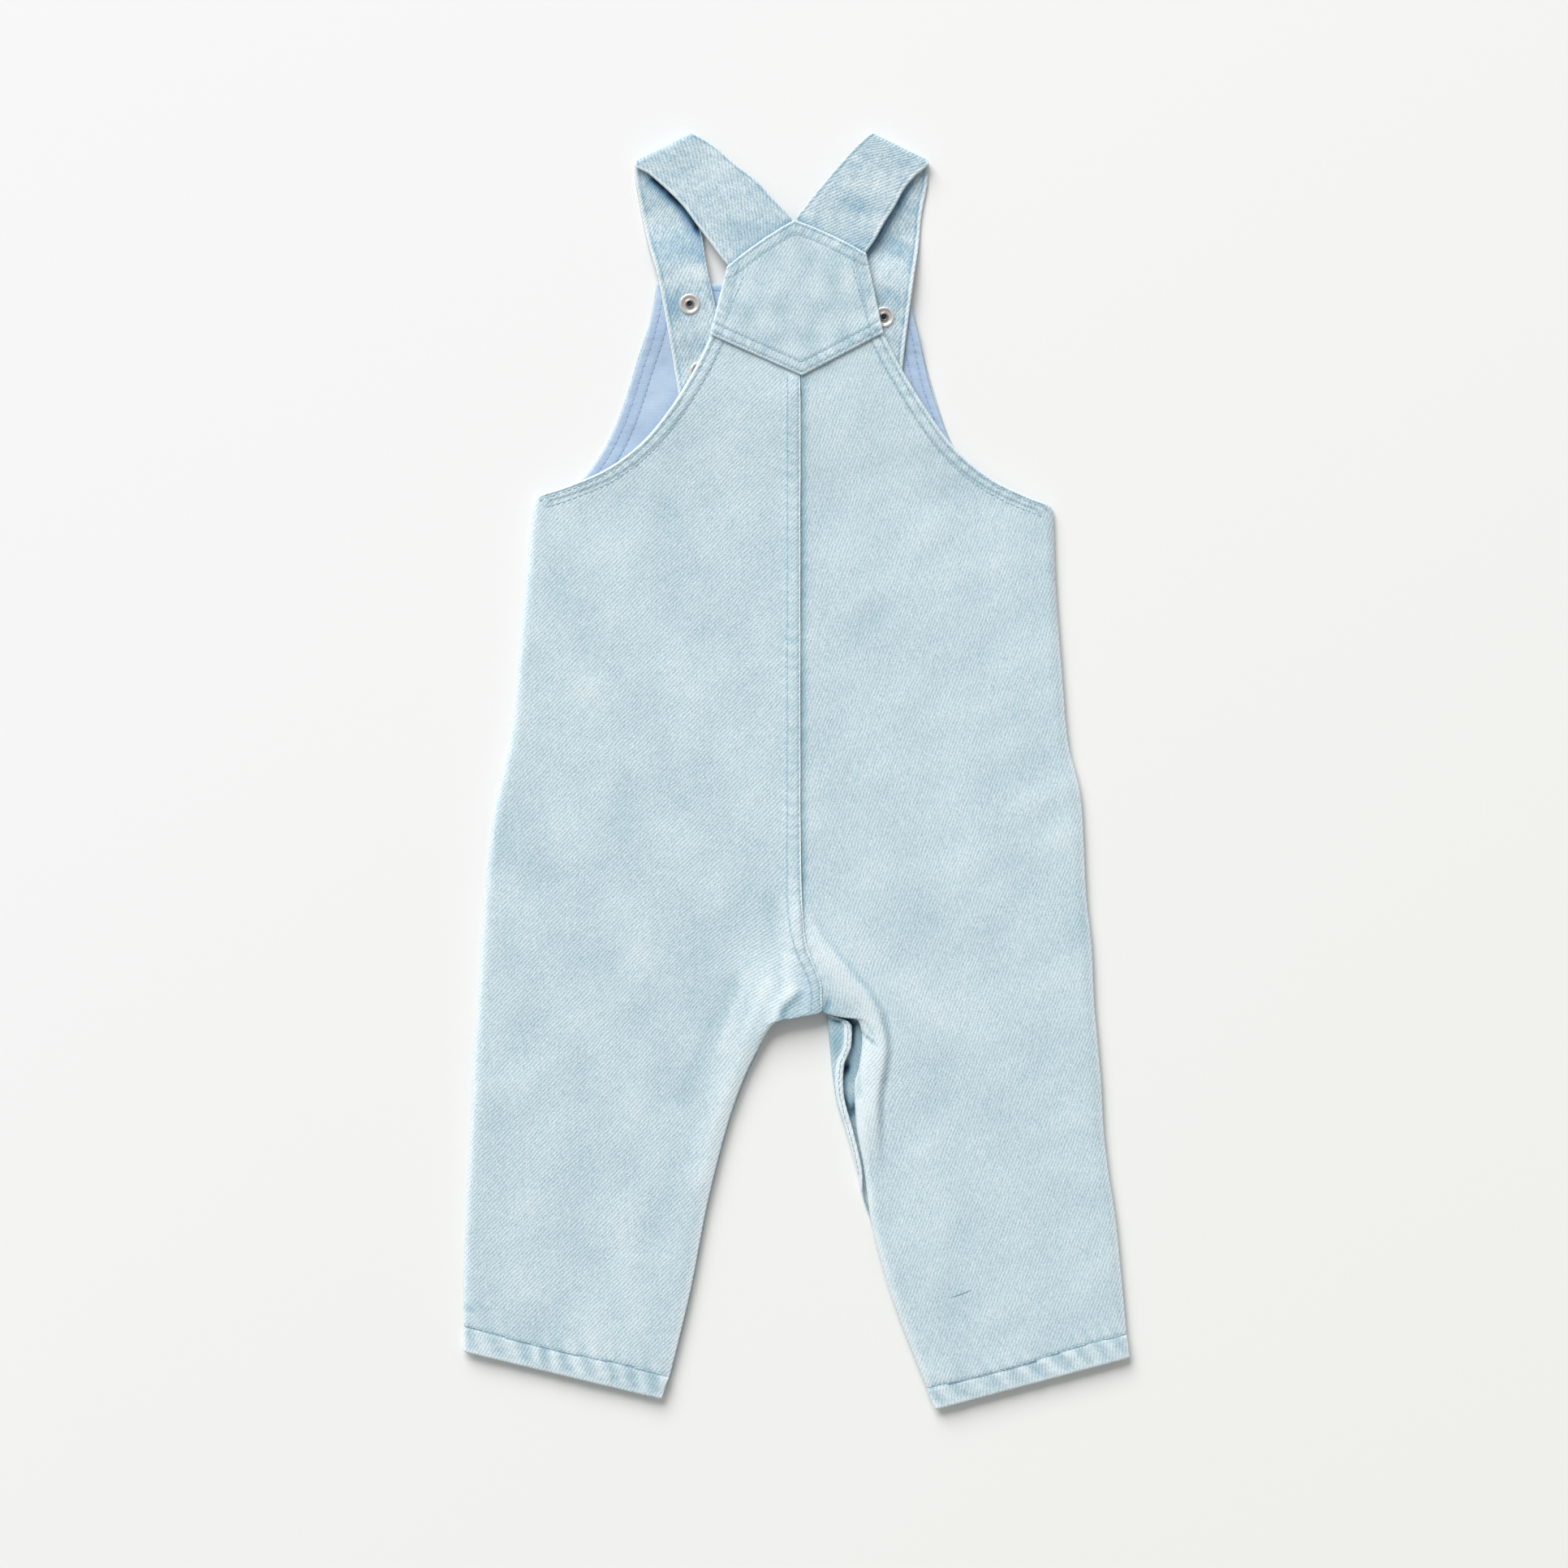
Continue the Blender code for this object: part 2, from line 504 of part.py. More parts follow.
def make_turned(name, profile, place):
    """A profile of radius and height, turned about the vertical."""
    points = [(radius * MM, 0.0, height * MM) for radius, height in profile]
    edges = [(i, i + 1) for i in range(len(points) - 1)]
    if profile[0][0] > 0.0:
        edges.append((len(points) - 1, 0))
    mesh = bpy.data.meshes.new(name)
    mesh.from_pydata(points, edges, [])
    item = add_object(name, mesh, (NICKEL, 0.3, 1.0))
    screw = item.modifiers.new("turn", "SCREW")
    screw.steps = screw.render_steps = RING_STEPS
    screw.use_merge_vertices = True
    screw.merge_threshold = 0.00001
    item.location = [value * MM for value in place]
    return item


def make_studs():
    strap_tops = {
        "left_upper": SPREAD_TOP + BIB_LIFT, "right_upper": SPREAD_TOP + BIB_LIFT,
        "left_lower": SPREAD_TOP, "right_lower": SPREAD_TOP,
    }
    for place, (x, y) in STUDS.items():
        height = strap_tops[place] + STRAP + GAP
        make_turned("strap_snap_" + place, RING_PROFILE, (x, y, height))
    for side in ("left", "right"):
        x, y = STUDS[side + "_upper"]
        make_turned("bib_snap_cap_" + side, CAP_PROFILE, (x, y, 0.0))


for old in list(bpy.data.objects):
    bpy.data.objects.remove(old, do_unlink=True)
PARTS = bpy.data.collections.new("denim_overalls")
bpy.context.scene.collection.children.link(PARTS)

make_front("front_left", FRONT_LEFT, hem_rows=2, columns=8, curl_columns=0)
make_front("front_right", FRONT_RIGHT, hem_rows=2, columns=7, curl_columns=6)
make_facing()
make_back("back_left", BACK_LEFT, hem_rows=3, armhole_rows=15)
make_back("back_right", BACK_RIGHT, hem_rows=3, armhole_rows=15)
make_yoke()
make_strap("strap_left", STRAP_LEFT_UPPER, STRAP_LEFT_FOLD, STRAP_LEFT_LOWER, BIB_TOP_LEFT)
make_strap("strap_right", STRAP_RIGHT_UPPER, STRAP_RIGHT_FOLD, STRAP_RIGHT_LOWER, BIB_TOP_RIGHT)
make_studs()
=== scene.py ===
# Baby's denim overalls laid flat on a pale table, back side up.
# Plan sizes are millimetres: X to the right, Y towards the straps, Z up from the table.
import math

import bpy
import numpy as np
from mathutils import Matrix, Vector


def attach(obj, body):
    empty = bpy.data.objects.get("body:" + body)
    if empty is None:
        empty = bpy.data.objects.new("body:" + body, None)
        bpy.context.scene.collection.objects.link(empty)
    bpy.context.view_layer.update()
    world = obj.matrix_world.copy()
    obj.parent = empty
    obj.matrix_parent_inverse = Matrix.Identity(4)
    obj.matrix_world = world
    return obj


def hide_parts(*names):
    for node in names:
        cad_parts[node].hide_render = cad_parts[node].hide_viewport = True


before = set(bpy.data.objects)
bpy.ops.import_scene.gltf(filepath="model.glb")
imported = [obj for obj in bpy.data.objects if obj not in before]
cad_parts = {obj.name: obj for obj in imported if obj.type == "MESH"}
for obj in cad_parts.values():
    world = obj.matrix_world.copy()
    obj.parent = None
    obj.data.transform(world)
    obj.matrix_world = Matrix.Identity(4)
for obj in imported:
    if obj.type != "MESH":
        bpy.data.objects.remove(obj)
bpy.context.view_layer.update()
mm = 0.001
print("frame loaded")


# shared maths
fullTurn = 6.283    # radians, as the waves use it


def ease(t):
    # 3t^2 - 2t^3, level at both ends
    t = np.clip(t, 0.0, 1.0)
    return t * t * (3.0 - 2.0 * t)


def quarterRound(t):
    # quarter of a circle: steep at 0, level at 1
    t = np.clip(t, 0.0, 1.0)
    return np.sqrt(1.0 - (1.0 - t) ** 2)


def hump(distance, width, at=0.0):
    # bell curve about at: e to the minus square of the distance over the width
    return np.exp(-((distance - at) / width) ** 2)


def relief(distance, table):
    # sum of humps, one for each row of place, width and amount
    return sum(amount * hump(distance, width, at) for at, width, amount in table)


def unit(vectors):
    # the vectors over their own lengths
    return vectors / (np.linalg.norm(vectors, axis=-1, keepdims=True) + 1e-12)


def leftOf(vectors):
    # plan vectors turned a quarter to the left: (-y, x)
    return np.stack([-vectors[..., 1], vectors[..., 0]], axis=-1)


def lengthAlong(points):
    # length along a line of points, up to each of them
    return np.concatenate([[0], np.cumsum(np.linalg.norm(np.diff(points, axis=0), axis=1))])


def closerEnds(count, amount):
    # from 0 to 1, closer at both ends: t - amount sin(2 pi t)
    even = np.linspace(0, 1, count)
    return even - amount * np.sin(2 * math.pi * even)


def throughRows(table, at):
    # cubic through the table's rows at the real row numbers in at; slopes are the
    # harmonic mean of the steps on both sides, so the curve never overshoots
    knots = np.array(table, float)
    steps = np.diff(knots, axis=0)
    slopes = np.zeros_like(knots)
    product, total = steps[:-1] * steps[1:], steps[:-1] + steps[1:]
    sameWay = product > 0.0
    slopes[1:-1][sameWay] = 2.0 * product[sameWay] / total[sameWay]
    slopes[0], slopes[-1] = steps[0], steps[-1]
    start = np.clip(np.floor(at).astype(int), 0, len(knots) - 2)
    t = (at - start)[:, None]
    return ((1 + 2 * t) * (1 - t) ** 2 * knots[start] + t * (1 - t) ** 2 * slopes[start]
            + t * t * (3 - 2 * t) * knots[start + 1] + t * t * (t - 1) * slopes[start + 1])


def evenRows(table, gap, edges, endGaps=()):
    # row numbers whose points lie gap mm apart along the mean of both edges, plus
    # closer ones at the given distances before the last row
    perRow = 30
    dense = np.linspace(0, len(table) - 1, perRow * (len(table) - 1) + 1)
    rows = throughRows(table, dense)
    step = sum(np.hypot(*np.diff(rows[:, c:c + 2], axis=0).T) for c in edges) / len(edges)
    length = np.concatenate([[0.0], np.cumsum(step)])
    stops = np.linspace(0.0, length[-1], int(length[-1] / gap) + 1)
    if endGaps:
        extra = length[-1] - np.array(endGaps)
        stops = np.sort(np.concatenate([stops[stops < extra.min() - gap / 2], extra]))
    return np.interp(stops, length, dense)


def ripples(x, y, size, seed, count=11):
    # sum of sine waves of wavelength near size in random directions, about -1 to 1
    dice = np.random.default_rng(seed)
    total = np.zeros_like(x)
    for turn, share, phase in dice.random((count, 3)):
        k = 2 * math.pi / (size * (0.7 + 0.8 * share))
        turn, phase = fullTurn * turn, fullTurn * phase
        total += np.sin(k * (x * math.cos(turn) + y * math.sin(turn)) + phase)
    return total / math.sqrt(count)


def alongLine(x, y, line, signed=False):
    # for each point: length along the line to its nearest place, and distance from it;
    # signed, that is negative to the right of the line's direction
    best, arc, side = np.full(x.shape, 1e9), np.zeros(x.shape), np.ones(x.shape)
    start = 0.0
    for (x0, y0), (x1, y1) in zip(line[:-1], line[1:]):
        run = math.hypot(x1 - x0, y1 - y0)
        t = np.clip(((x - x0) * (x1 - x0) + (y - y0) * (y1 - y0)) / (run * run + 1e-9), 0, 1)
        away = np.hypot(x - x0 - t * (x1 - x0), y - y0 - t * (y1 - y0))
        nearer = away < best
        arc = np.where(nearer, start + t * run, arc)
        turn = (x1 - x0) * (y - y0) - (y1 - y0) * (x - x0)
        side = np.where(nearer, np.where(turn < 0, -1.0, 1.0), side)
        best = np.minimum(best, away)
        start += run
    return arc, best * side if signed else best


def awayFrom(x, y, line):
    # distance of each point from the line
    return alongLine(x, y, line)[1]


def offsetLine(line, distance):
    # the line moved sideways, to the left of its direction where distance is positive
    points = np.array(line, float)
    return points + distance * leftOf(unit(np.gradient(points, axis=0)))


def resample(line, gap):
    # points at even steps of about gap mm along the line
    points = np.array(line, float)
    length = lengthAlong(points)
    stops = np.linspace(0, length[-1], max(2, int(round(length[-1] / gap)) + 1))
    return np.stack([np.interp(stops, length, points[:, c]) for c in range(points.shape[1])], 1)


def puckers(x, y, line, step, reach, seed):
    # short waves that run across a seam: sine of the length along it, with a phase and
    # a strength that wander, fading over reach mm to both sides
    arc, away = alongLine(x, y, line)
    at = arc / step
    wander = 2.3 * np.sin(at * 1.1 + seed) + 2.0 * np.sin(at * 0.53 + 2.2 * seed)
    strength = 0.6 + 0.4 * np.sin(at * 0.83 + 3.1 * seed) * np.sin(at * 0.31 + seed)
    wave = np.sin(2 * math.pi * (at + 0.35 * away / step) + wander)
    return strength * wave * hump(away, reach)


def creaseField(x, y, table):
    # ridge and trough heights of a list of creases, each a hump across a line, and their paler or bluer
    # tone: worn pale on ridges; bluer in troughs, partly unworn cloth and partly painted shade
    high, low, tone = np.zeros_like(x), np.zeros_like(x), np.zeros_like(x)
    for x0, y0, x1, y1, halfWidth, rise, wear in table:
        shape = hump(awayFrom(x, y, ((x0, y0), (x1, y1))), halfWidth)
        high = np.maximum(high, rise * shape)
        low = np.minimum(low, rise * shape)
        tone = np.where(np.abs(wear * shape) > np.abs(tone), wear * shape, tone)
    return high + low, tone


def steepFold(x, y, line, ends, rise, slow, fast, pale, blue):
    # a fold's crest along a line: it sinks slowly to the left of the line's direction
    # and fast to the right, where a shaded trough follows; ends gives both tapers in mm
    arc, side = alongLine(x, y, line, signed=True)
    share = ease(arc / ends[0]) * ease((arc.max() - arc) / ends[1])
    tone = pale * hump(side, 0.85 * slow, 0.45 * slow) - blue * hump(side, 0.9 * fast, -1.2 * fast)
    return rise * share * hump(side, np.where(side > 0, slow, fast)), share * tone


# shared mesh work
sheets = {}    # points and normals of each made sheet, for what lies on it
turnedWall = 1.4    # mm of the hems' double cloth


def gridFaces(rows, columns, turn):
    # quads between neighbouring rows and columns
    index = np.arange(rows * columns).reshape(rows, columns)
    quads = np.stack([index[:-1, :-1], index[1:, :-1], index[1:, 1:], index[:-1, 1:]], -1)
    quads = quads.reshape(-1, 4)
    return (quads[:, ::-1] if turn else quads).tolist()


def tubeFaces(rings, corners):
    # quads between neighbouring rings, each ring closed on itself
    index = np.arange(rings * corners).reshape(rings, corners)
    beside = np.roll(index, -1, axis=1)
    return np.stack([index[:-1], beside[:-1], beside[1:], index[1:]], -1).reshape(-1, 4)


def newObject(name, data):
    # an object with this data, linked to the scene
    item = bpy.data.objects.new(name, data)
    bpy.context.scene.collection.objects.link(item)
    return item


def newMesh(name, points, faces, material, fadeAndShade, uv=None):
    # points in mm; uv in metres of cloth; fadeAndShade: 1 worn pale, -1 deep blue, -2 near black; low
    # values are often painted shade
    mesh = bpy.data.meshes.new(name)
    mesh.from_pydata((points * mm).tolist(), [], faces)
    mesh.polygons.foreach_set("use_smooth", [True] * len(mesh.polygons))
    if uv is not None:
        corner = np.zeros(len(mesh.loops), int)
        mesh.loops.foreach_get("vertex_index", corner)
        layer = mesh.uv_layers.new(name="cloth")
        layer.data.foreach_set("uv", uv[corner].astype(np.float32).ravel())
    mesh.attributes.new("fadeAndShade", "FLOAT", "POINT").data.foreach_set(
        "value", np.clip(fadeAndShade, -2, 1).astype(np.float32))
    mesh.materials.append(material)
    mesh.update()
    return newObject(name, mesh)


def makeSheet(name, grid, uv, fadeAndShade, wall, material, up=True, thick=None):
    # grid of outer points (mm) as a shell: Solidify gives it its wall inwards
    rows, columns = grid.shape[:2]
    spread = np.cross(grid[1, columns // 2] - grid[0, columns // 2],
                      grid[0, columns // 2 + 1] - grid[0, columns // 2])
    item = newMesh(name, grid.reshape(-1, 3), gridFaces(rows, columns, (spread[2] > 0) != up),
                   material, fadeAndShade.reshape(-1), uv.reshape(-1, 2))
    shell = item.modifiers.new("wall", "SOLIDIFY")
    shell.thickness, shell.offset = wall * mm, -1.0
    if thick is not None:
        group = item.vertex_groups.new(name="turned")
        for share in (0.5, 1.0):
            group.add(np.flatnonzero(np.abs(thick.reshape(-1) - share) < 0.25).tolist(),
                      share, "REPLACE")
        shell.vertex_group, shell.thickness_vertex_group = "turned", wall / turnedWall
        shell.thickness = turnedWall * mm
    normal = unit(np.cross(np.gradient(grid, axis=1), np.gradient(grid, axis=0)))
    normal = normal * np.where((normal[..., 2:] > 0) == up, 1.0, -1.0)
    sheets[name] = (grid.reshape(-1, 3), normal.reshape(-1, 3))
    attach(item, "root")
    return item


def onSheet(names, plan):
    # height and normal of a made sheet under each plan point: the nearest grid
    # point's own plane, taken as no steeper than steepest allows
    points = np.concatenate([sheets[n][0] for n in names])
    normals = np.concatenate([sheets[n][1] for n in names])
    nearest = np.concatenate([
        np.argmin((points[:, 0] - part[:, :1]) ** 2 + (points[:, 1] - part[:, 1:2]) ** 2, axis=1)
        for part in np.array_split(plan, max(1, len(plan) // 200 + 1))])
    base, normal = points[nearest], normals[nearest]
    shift = plan - base[:, :2]
    steepest, upward = 0.35, normal[:, 2]
    upward = np.where(np.abs(upward) < steepest, steepest * np.sign(upward + 1e-9), upward)
    height = base[:, 2] - (normal[:, 0] * shift[:, 0] + normal[:, 1] * shift[:, 1]) / upward
    return height, normal


stitchShape = {"pitch": 2.7, "length": 2.6, "width": 0.46, "depth": 0.26, "sink": 0.0}
threadEnd = {"pitch": 12.9, "length": 12.6, "width": 0.25, "depth": 0.17, "sink": 0.12}
# rings from one end to the other: place, size and tone; the low tone at the ends is painted shade
capsule = {"corners": 6, "stray": 0.07, "endDip": 0.16,
           "rings": ((-1, 0, -1), (-0.78, 0.62, -0.9), (-0.3, 1, 1), (0.3, 1, 1),
                     (0.78, 0.62, -0.9), (1, 0, -1))}


def makeStitches(name, lines, on, material, seed=1, shape=stitchShape):
    # every stitch is a small closed capsule: rings that narrow to both ends, laid on the sheet below,
    # turned a little; its ends are sunk, with painted shade where the needle went in
    dice = np.random.default_rng(seed)
    stops = [resample(line, shape["pitch"]) for line in lines]
    plan = np.concatenate([(line[:-1] + line[1:]) / 2 for line in stops])
    run = unit(np.concatenate([np.diff(line, axis=0) for line in stops]))
    count = len(plan)
    swing = dice.normal(0.0, capsule["stray"], count)
    run = np.stack([run[:, 0] - swing * run[:, 1], run[:, 1] + swing * run[:, 0]], 1)
    plan = plan + dice.normal(0.0, capsule["stray"], (count, 2))
    height, normal = onSheet(on, plan)
    forward = np.concatenate([run, np.zeros((count, 1))], 1)
    forward = unit(forward - normal * np.sum(forward * normal, 1, keepdims=True))
    side = np.cross(normal, forward)
    centre = np.concatenate([plan, height[:, None]], 1) + normal * shape["sink"]
    ringAt, ringSize, ringTone = np.array(capsule["rings"]).T
    corners, inner = capsule["corners"], len(ringAt) - 2
    around = np.arange(corners) * 2 * math.pi / corners
    half = shape["length"] / 2 * dice.uniform(0.92, 1.04, count)
    wide = shape["width"] / 2 * dice.uniform(0.85, 1.15, count)
    # ring r, corner a: centre + forward*at + side*cos*wide + normal*(sin*deep - end dip)
    sideways = wide[:, None, None] * ringSize[:, None] * np.cos(around)
    upwards = (shape["depth"] * ringSize[:, None] * np.sin(around)
               - capsule["endDip"] * ringAt[:, None] ** 4)
    rings = (centre[:, None, None] + forward[:, None, None] * (half[:, None] * ringAt)[:, :, None, None]
             + side[:, None, None] * sideways[..., None] + normal[:, None, None] * upwards[..., None])
    body = inner * corners
    size = body + 2
    points = np.concatenate([rings[:, 1:-1].reshape(count, body, 3), rings[:, [0, -1], 0]], 1)
    ring = np.arange(corners)
    beside = np.roll(ring, -1)
    lastRing = body - corners
    caps = np.concatenate([np.stack([np.full(corners, body), beside, ring], 1),
                           np.stack([np.full(corners, body + 1), lastRing + ring, lastRing + beside], 1)])
    base = np.arange(count)[:, None, None] * size
    faces = ((tubeFaces(inner, corners) + base).reshape(-1, 4).tolist()
             + (caps + base).reshape(-1, 3).tolist())
    uv = np.stack([np.repeat(np.arange(count) * 0.01, size),
                   np.tile(np.linspace(0, 1, size), count) * 0.002], 1)
    # the ends' low tone is painted shade; each stitch's tone is scaled at random
    tone = np.append(np.repeat(ringTone[1:-1], corners), ringTone[[0, -1]])
    tone = np.tile(tone, count) * np.repeat(dice.uniform(0.45, 1.0, count), size)
    item = newMesh(name, points.reshape(-1, 3), faces, material, tone, uv)
    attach(item, "root")


# materials
def feed(tree, inputs, values):
    # links the values that are sockets and sets the others as constants
    for place, value in values.items():
        if isinstance(value, bpy.types.NodeSocket):
            tree.links.new(value, inputs[place])
        else:
            inputs[place].default_value = value


def addNode(tree, kind, inputs=None, **settings):
    # a node with its settings, its inputs linked or set
    item = tree.nodes.new(kind)
    for key, value in settings.items():
        setattr(item, key, value)
    feed(tree, item.inputs, inputs or {})
    return item


def calc(tree, operation, *values):
    # one sum of the node tree; MULTIPLY_ADD is first times second plus third
    return addNode(tree, "ShaderNodeMath", dict(enumerate(values)), operation=operation).outputs[0]


def mixed(tree, share, first, second):
    # linear mix of two colours
    item = addNode(tree, "ShaderNodeMix", {0: share, 6: first, 7: second}, data_type="RGBA",
                   clamp_factor=True)
    return item.outputs[2]


def noise(tree, vector, size, detail=2.0, rough=0.55):
    # about 0.5 on average; size is in units of the vector
    return addNode(tree, "ShaderNodeTexNoise", {"Vector": vector, "Scale": 1.0 / size,
                   "Detail": detail, "Roughness": rough}).outputs["Fac"]


def stretched(tree, vector, scale, turn=0.0):
    # the vector turned and scaled, so that noise on it is drawn out
    return addNode(tree, "ShaderNodeMapping", {0: vector, "Rotation": (0, 0, turn),
                                               "Scale": scale}).outputs[0]


def objectPlace(tree):
    # place on the object, in metres
    return addNode(tree, "ShaderNodeTexCoord").outputs["Object"]


def attribute(tree, name):
    # a value kept at the mesh's points
    return addNode(tree, "ShaderNodeAttribute", attribute_name=name).outputs["Fac"]


def tint(red, green, blue):
    # display colour 0-255 to the renderer's linear one
    part = np.array([red, green, blue]) / 255.0
    linear = np.where(part <= 0.04045, part / 12.92, ((part + 0.055) / 1.055) ** 2.4)
    return (*[float(v) for v in linear], 1.0)


def newMaterial(name):
    # a material, its node tree and its shader's inputs
    material = bpy.data.materials.new(name)
    material.use_nodes = True
    return material, material.node_tree, material.node_tree.nodes["Principled BSDF"].inputs


def newWeave(name, colours, values=()):
    # a node group from cloth coordinates and fade to colour, height and roughness; the
    # coordinates come back in mm
    tree = bpy.data.node_groups.new(name, "ShaderNodeTree")
    kinds = {"Cloth": "Vector", "Fade": "Float", **{label: "Color" for label in colours},
             **{label: "Float" for label in values}}
    for label, kind in kinds.items():
        tree.interface.new_socket(name=label, in_out="INPUT", socket_type="NodeSocket" + kind)
    for label, kind in {"Color": "Color", "Height": "Float", "Roughness": "Float"}.items():
        tree.interface.new_socket(name=label, in_out="OUTPUT", socket_type="NodeSocket" + kind)
    given, result = tree.nodes.new("NodeGroupInput").outputs, tree.nodes.new("NodeGroupOutput").inputs
    cloth = addNode(tree, "ShaderNodeVectorMath", {0: given["Cloth"], "Scale": 1000.0},
                    operation="SCALE").outputs[0]
    return tree, given, result, cloth


# sizes in mm, angle in degrees; floats: how flat the twill's wave is
twill = {"pitch": 1.44, "angle": 32.7, "warpGap": 0.43, "weftGap": 0.667, "wander": 1.5,
         "floats": 1.6, "lineTone": 0.15, "cloudSize": 48.0, "cloudTone": 0.35,
         "mottleSize": 3.2, "wearTone": 1.05}


def makeTwillGroup():
    # twill line: sine across the diagonal of the cloth's own coordinates; warp slubs
    # are noise drawn out along the warp, grain is noise at the size of one crossing
    tree, given, result, cloth = newWeave("denimTwill", ("Blue", "Light", "Deep", "Pale", "HollowShadow"),
                                          ("Contrast",))
    wander = noise(tree, cloth, 9.0, 2.0)
    split = addNode(tree, "ShaderNodeSeparateXYZ", {0: cloth}).outputs
    turn = math.radians(twill["angle"])
    across = calc(tree, "SUBTRACT", calc(tree, "MULTIPLY", split[0], math.cos(turn)),
                  calc(tree, "MULTIPLY", split[1], math.sin(turn)))
    across = calc(tree, "ADD", across, calc(tree, "MULTIPLY", wander, twill["wander"]))
    line = calc(tree, "SINE", calc(tree, "MULTIPLY", across, 2 * math.pi / twill["pitch"]))
    # a flatter wave: floats and valleys are wide, the steps between them short
    line = calc(tree, "TANH", calc(tree, "MULTIPLY", line, twill["floats"]))
    slub = noise(tree, stretched(tree, cloth, (1.0, 0.09, 1.0)), twill["warpGap"] * 1.5, 2.0, 0.6)
    broken = noise(tree, stretched(tree, cloth, (1.0, 0.5, 1.0), turn), 0.8, 2.0, 0.6)
    grain = noise(tree, cloth, twill["weftGap"], 1.0, 0.6)
    cloud = noise(tree, cloth, twill["cloudSize"], 1.0, 0.5)
    mottle = noise(tree, cloth, twill["mottleSize"], 1.0, 0.5)
    tone = calc(tree, "MULTIPLY_ADD", line, twill["lineTone"], 0.5)
    for part, amount in ((slub, 0.7), (broken, 1.0), (grain, 1.2), (mottle, 0.3)):
        tone = calc(tree, "MULTIPLY_ADD", calc(tree, "SUBTRACT", part, 0.5), amount, tone)
    tone = calc(tree, "MULTIPLY_ADD", calc(tree, "SUBTRACT", tone, 0.5), given["Contrast"], 0.5)
    # wear and the painted shade in Fade move the tone up to the pale colour or down to the deep one
    wear = calc(tree, "MULTIPLY_ADD", calc(tree, "SUBTRACT", cloud, 0.5), twill["cloudTone"],
                given["Fade"])
    tone = calc(tree, "MULTIPLY_ADD", wear, twill["wearTone"], tone)
    base = mixed(tree, tone, given["Blue"], given["Light"])
    paler = mixed(tree, calc(tree, "MULTIPLY_ADD", tone, 0.7, -0.7), base, given["Pale"])
    deeper = mixed(tree, calc(tree, "MULTIPLY", tone, -1.0), paler, given["Deep"])
    # below -1 the tone goes on into the near black of painted shadow
    deeper = mixed(tree, calc(tree, "SUBTRACT", -1.0, given["Fade"]), deeper, given["HollowShadow"])
    height = calc(tree, "MULTIPLY_ADD", line, 0.00004, calc(tree, "MULTIPLY", broken, 0.00016))
    feed(tree, result, {"Color": deeper, "Height": calc(tree, "MULTIPLY_ADD", grain, 0.0001, height),
                        "Roughness": calc(tree, "MULTIPLY_ADD", grain, 0.15, 0.8)})
    return tree


def makeChambrayGroup():
    # plain weave: two noises drawn out along warp and weft, and soft clouds
    tree, given, result, cloth = newWeave("chambrayWeave", ("Blue", "Light", "Deep", "Pale"))
    tone, height = 0.5, 0.0
    for stretch in ((1.0, 0.08, 1.0), (0.08, 1.0, 1.0)):
        at = stretched(tree, cloth, stretch)
        yarn = calc(tree, "SUBTRACT", noise(tree, at, 0.55, 2.0, 0.6), 0.5)
        tone = calc(tree, "MULTIPLY_ADD", yarn, 0.45, tone)
        height = calc(tree, "MULTIPLY_ADD", yarn, 0.00012, height)
    cloud = calc(tree, "SUBTRACT", noise(tree, cloth, 14.0, 3.0, 0.6), 0.5)
    tone = calc(tree, "MULTIPLY_ADD", cloud, 0.4, tone)
    base = mixed(tree, tone, given["Blue"], given["Light"])
    paler = mixed(tree, given["Fade"], base, given["Pale"])
    deeper = mixed(tree, calc(tree, "MULTIPLY", given["Fade"], -1.0), paler, given["Deep"])
    feed(tree, result, {"Color": deeper, "Height": height,
                        "Roughness": calc(tree, "MULTIPLY_ADD", cloud, 0.1, 0.82)})
    return tree


def clothMaterial(name, group, colours, sheen, **values):
    # the weave's colour, roughness and bump, with a faint sheen
    material, tree, shader = newMaterial(name)
    cloth = addNode(tree, "ShaderNodeUVMap", uv_map="cloth").outputs[0]
    weave = addNode(tree, "ShaderNodeGroup", node_tree=group)
    feed(tree, weave.inputs, {"Cloth": cloth, "Fade": attribute(tree, "fadeAndShade"), **values})
    feed(tree, weave.inputs, {label: tint(*colour) for label, colour in colours.items()})
    bump = addNode(tree, "ShaderNodeBump", {"Height": weave.outputs["Height"], "Distance": 1.0,
                                            "Strength": 1.0})
    feed(tree, shader, {"Base Color": weave.outputs["Color"], "Normal": bump.outputs[0],
                        "Roughness": weave.outputs["Roughness"], "Specular IOR Level": 0.2,
                        "Sheen Weight": sheen, "Sheen Roughness": 0.5})
    return material


twillGroup, chambrayGroup = makeTwillGroup(), makeChambrayGroup()
denimColours = {
    "body": {"Blue": (166, 195, 207), "Light": (229, 242, 246), "Deep": (126, 168, 188),
             "Pale": (236, 244, 245), "HollowShadow": (26, 42, 60)},
    "strap": {"Blue": (156, 187, 203), "Light": (229, 240, 242), "Deep": (104, 148, 184),
              "Pale": (238, 244, 244), "HollowShadow": (30, 50, 72)},
    "facing": {"Blue": (169, 193, 220), "Light": (197, 217, 237), "Deep": (130, 158, 198),
               "Pale": (220, 232, 246)},
}
denimBody = clothMaterial("washed denim", twillGroup, denimColours["body"], 0.1, Contrast=1.0)
denimStrap = clothMaterial("strap denim", twillGroup, denimColours["strap"], 0.1, Contrast=1.3)
chambray = clothMaterial("blue chambray", chambrayGroup, denimColours["facing"], 0.05)


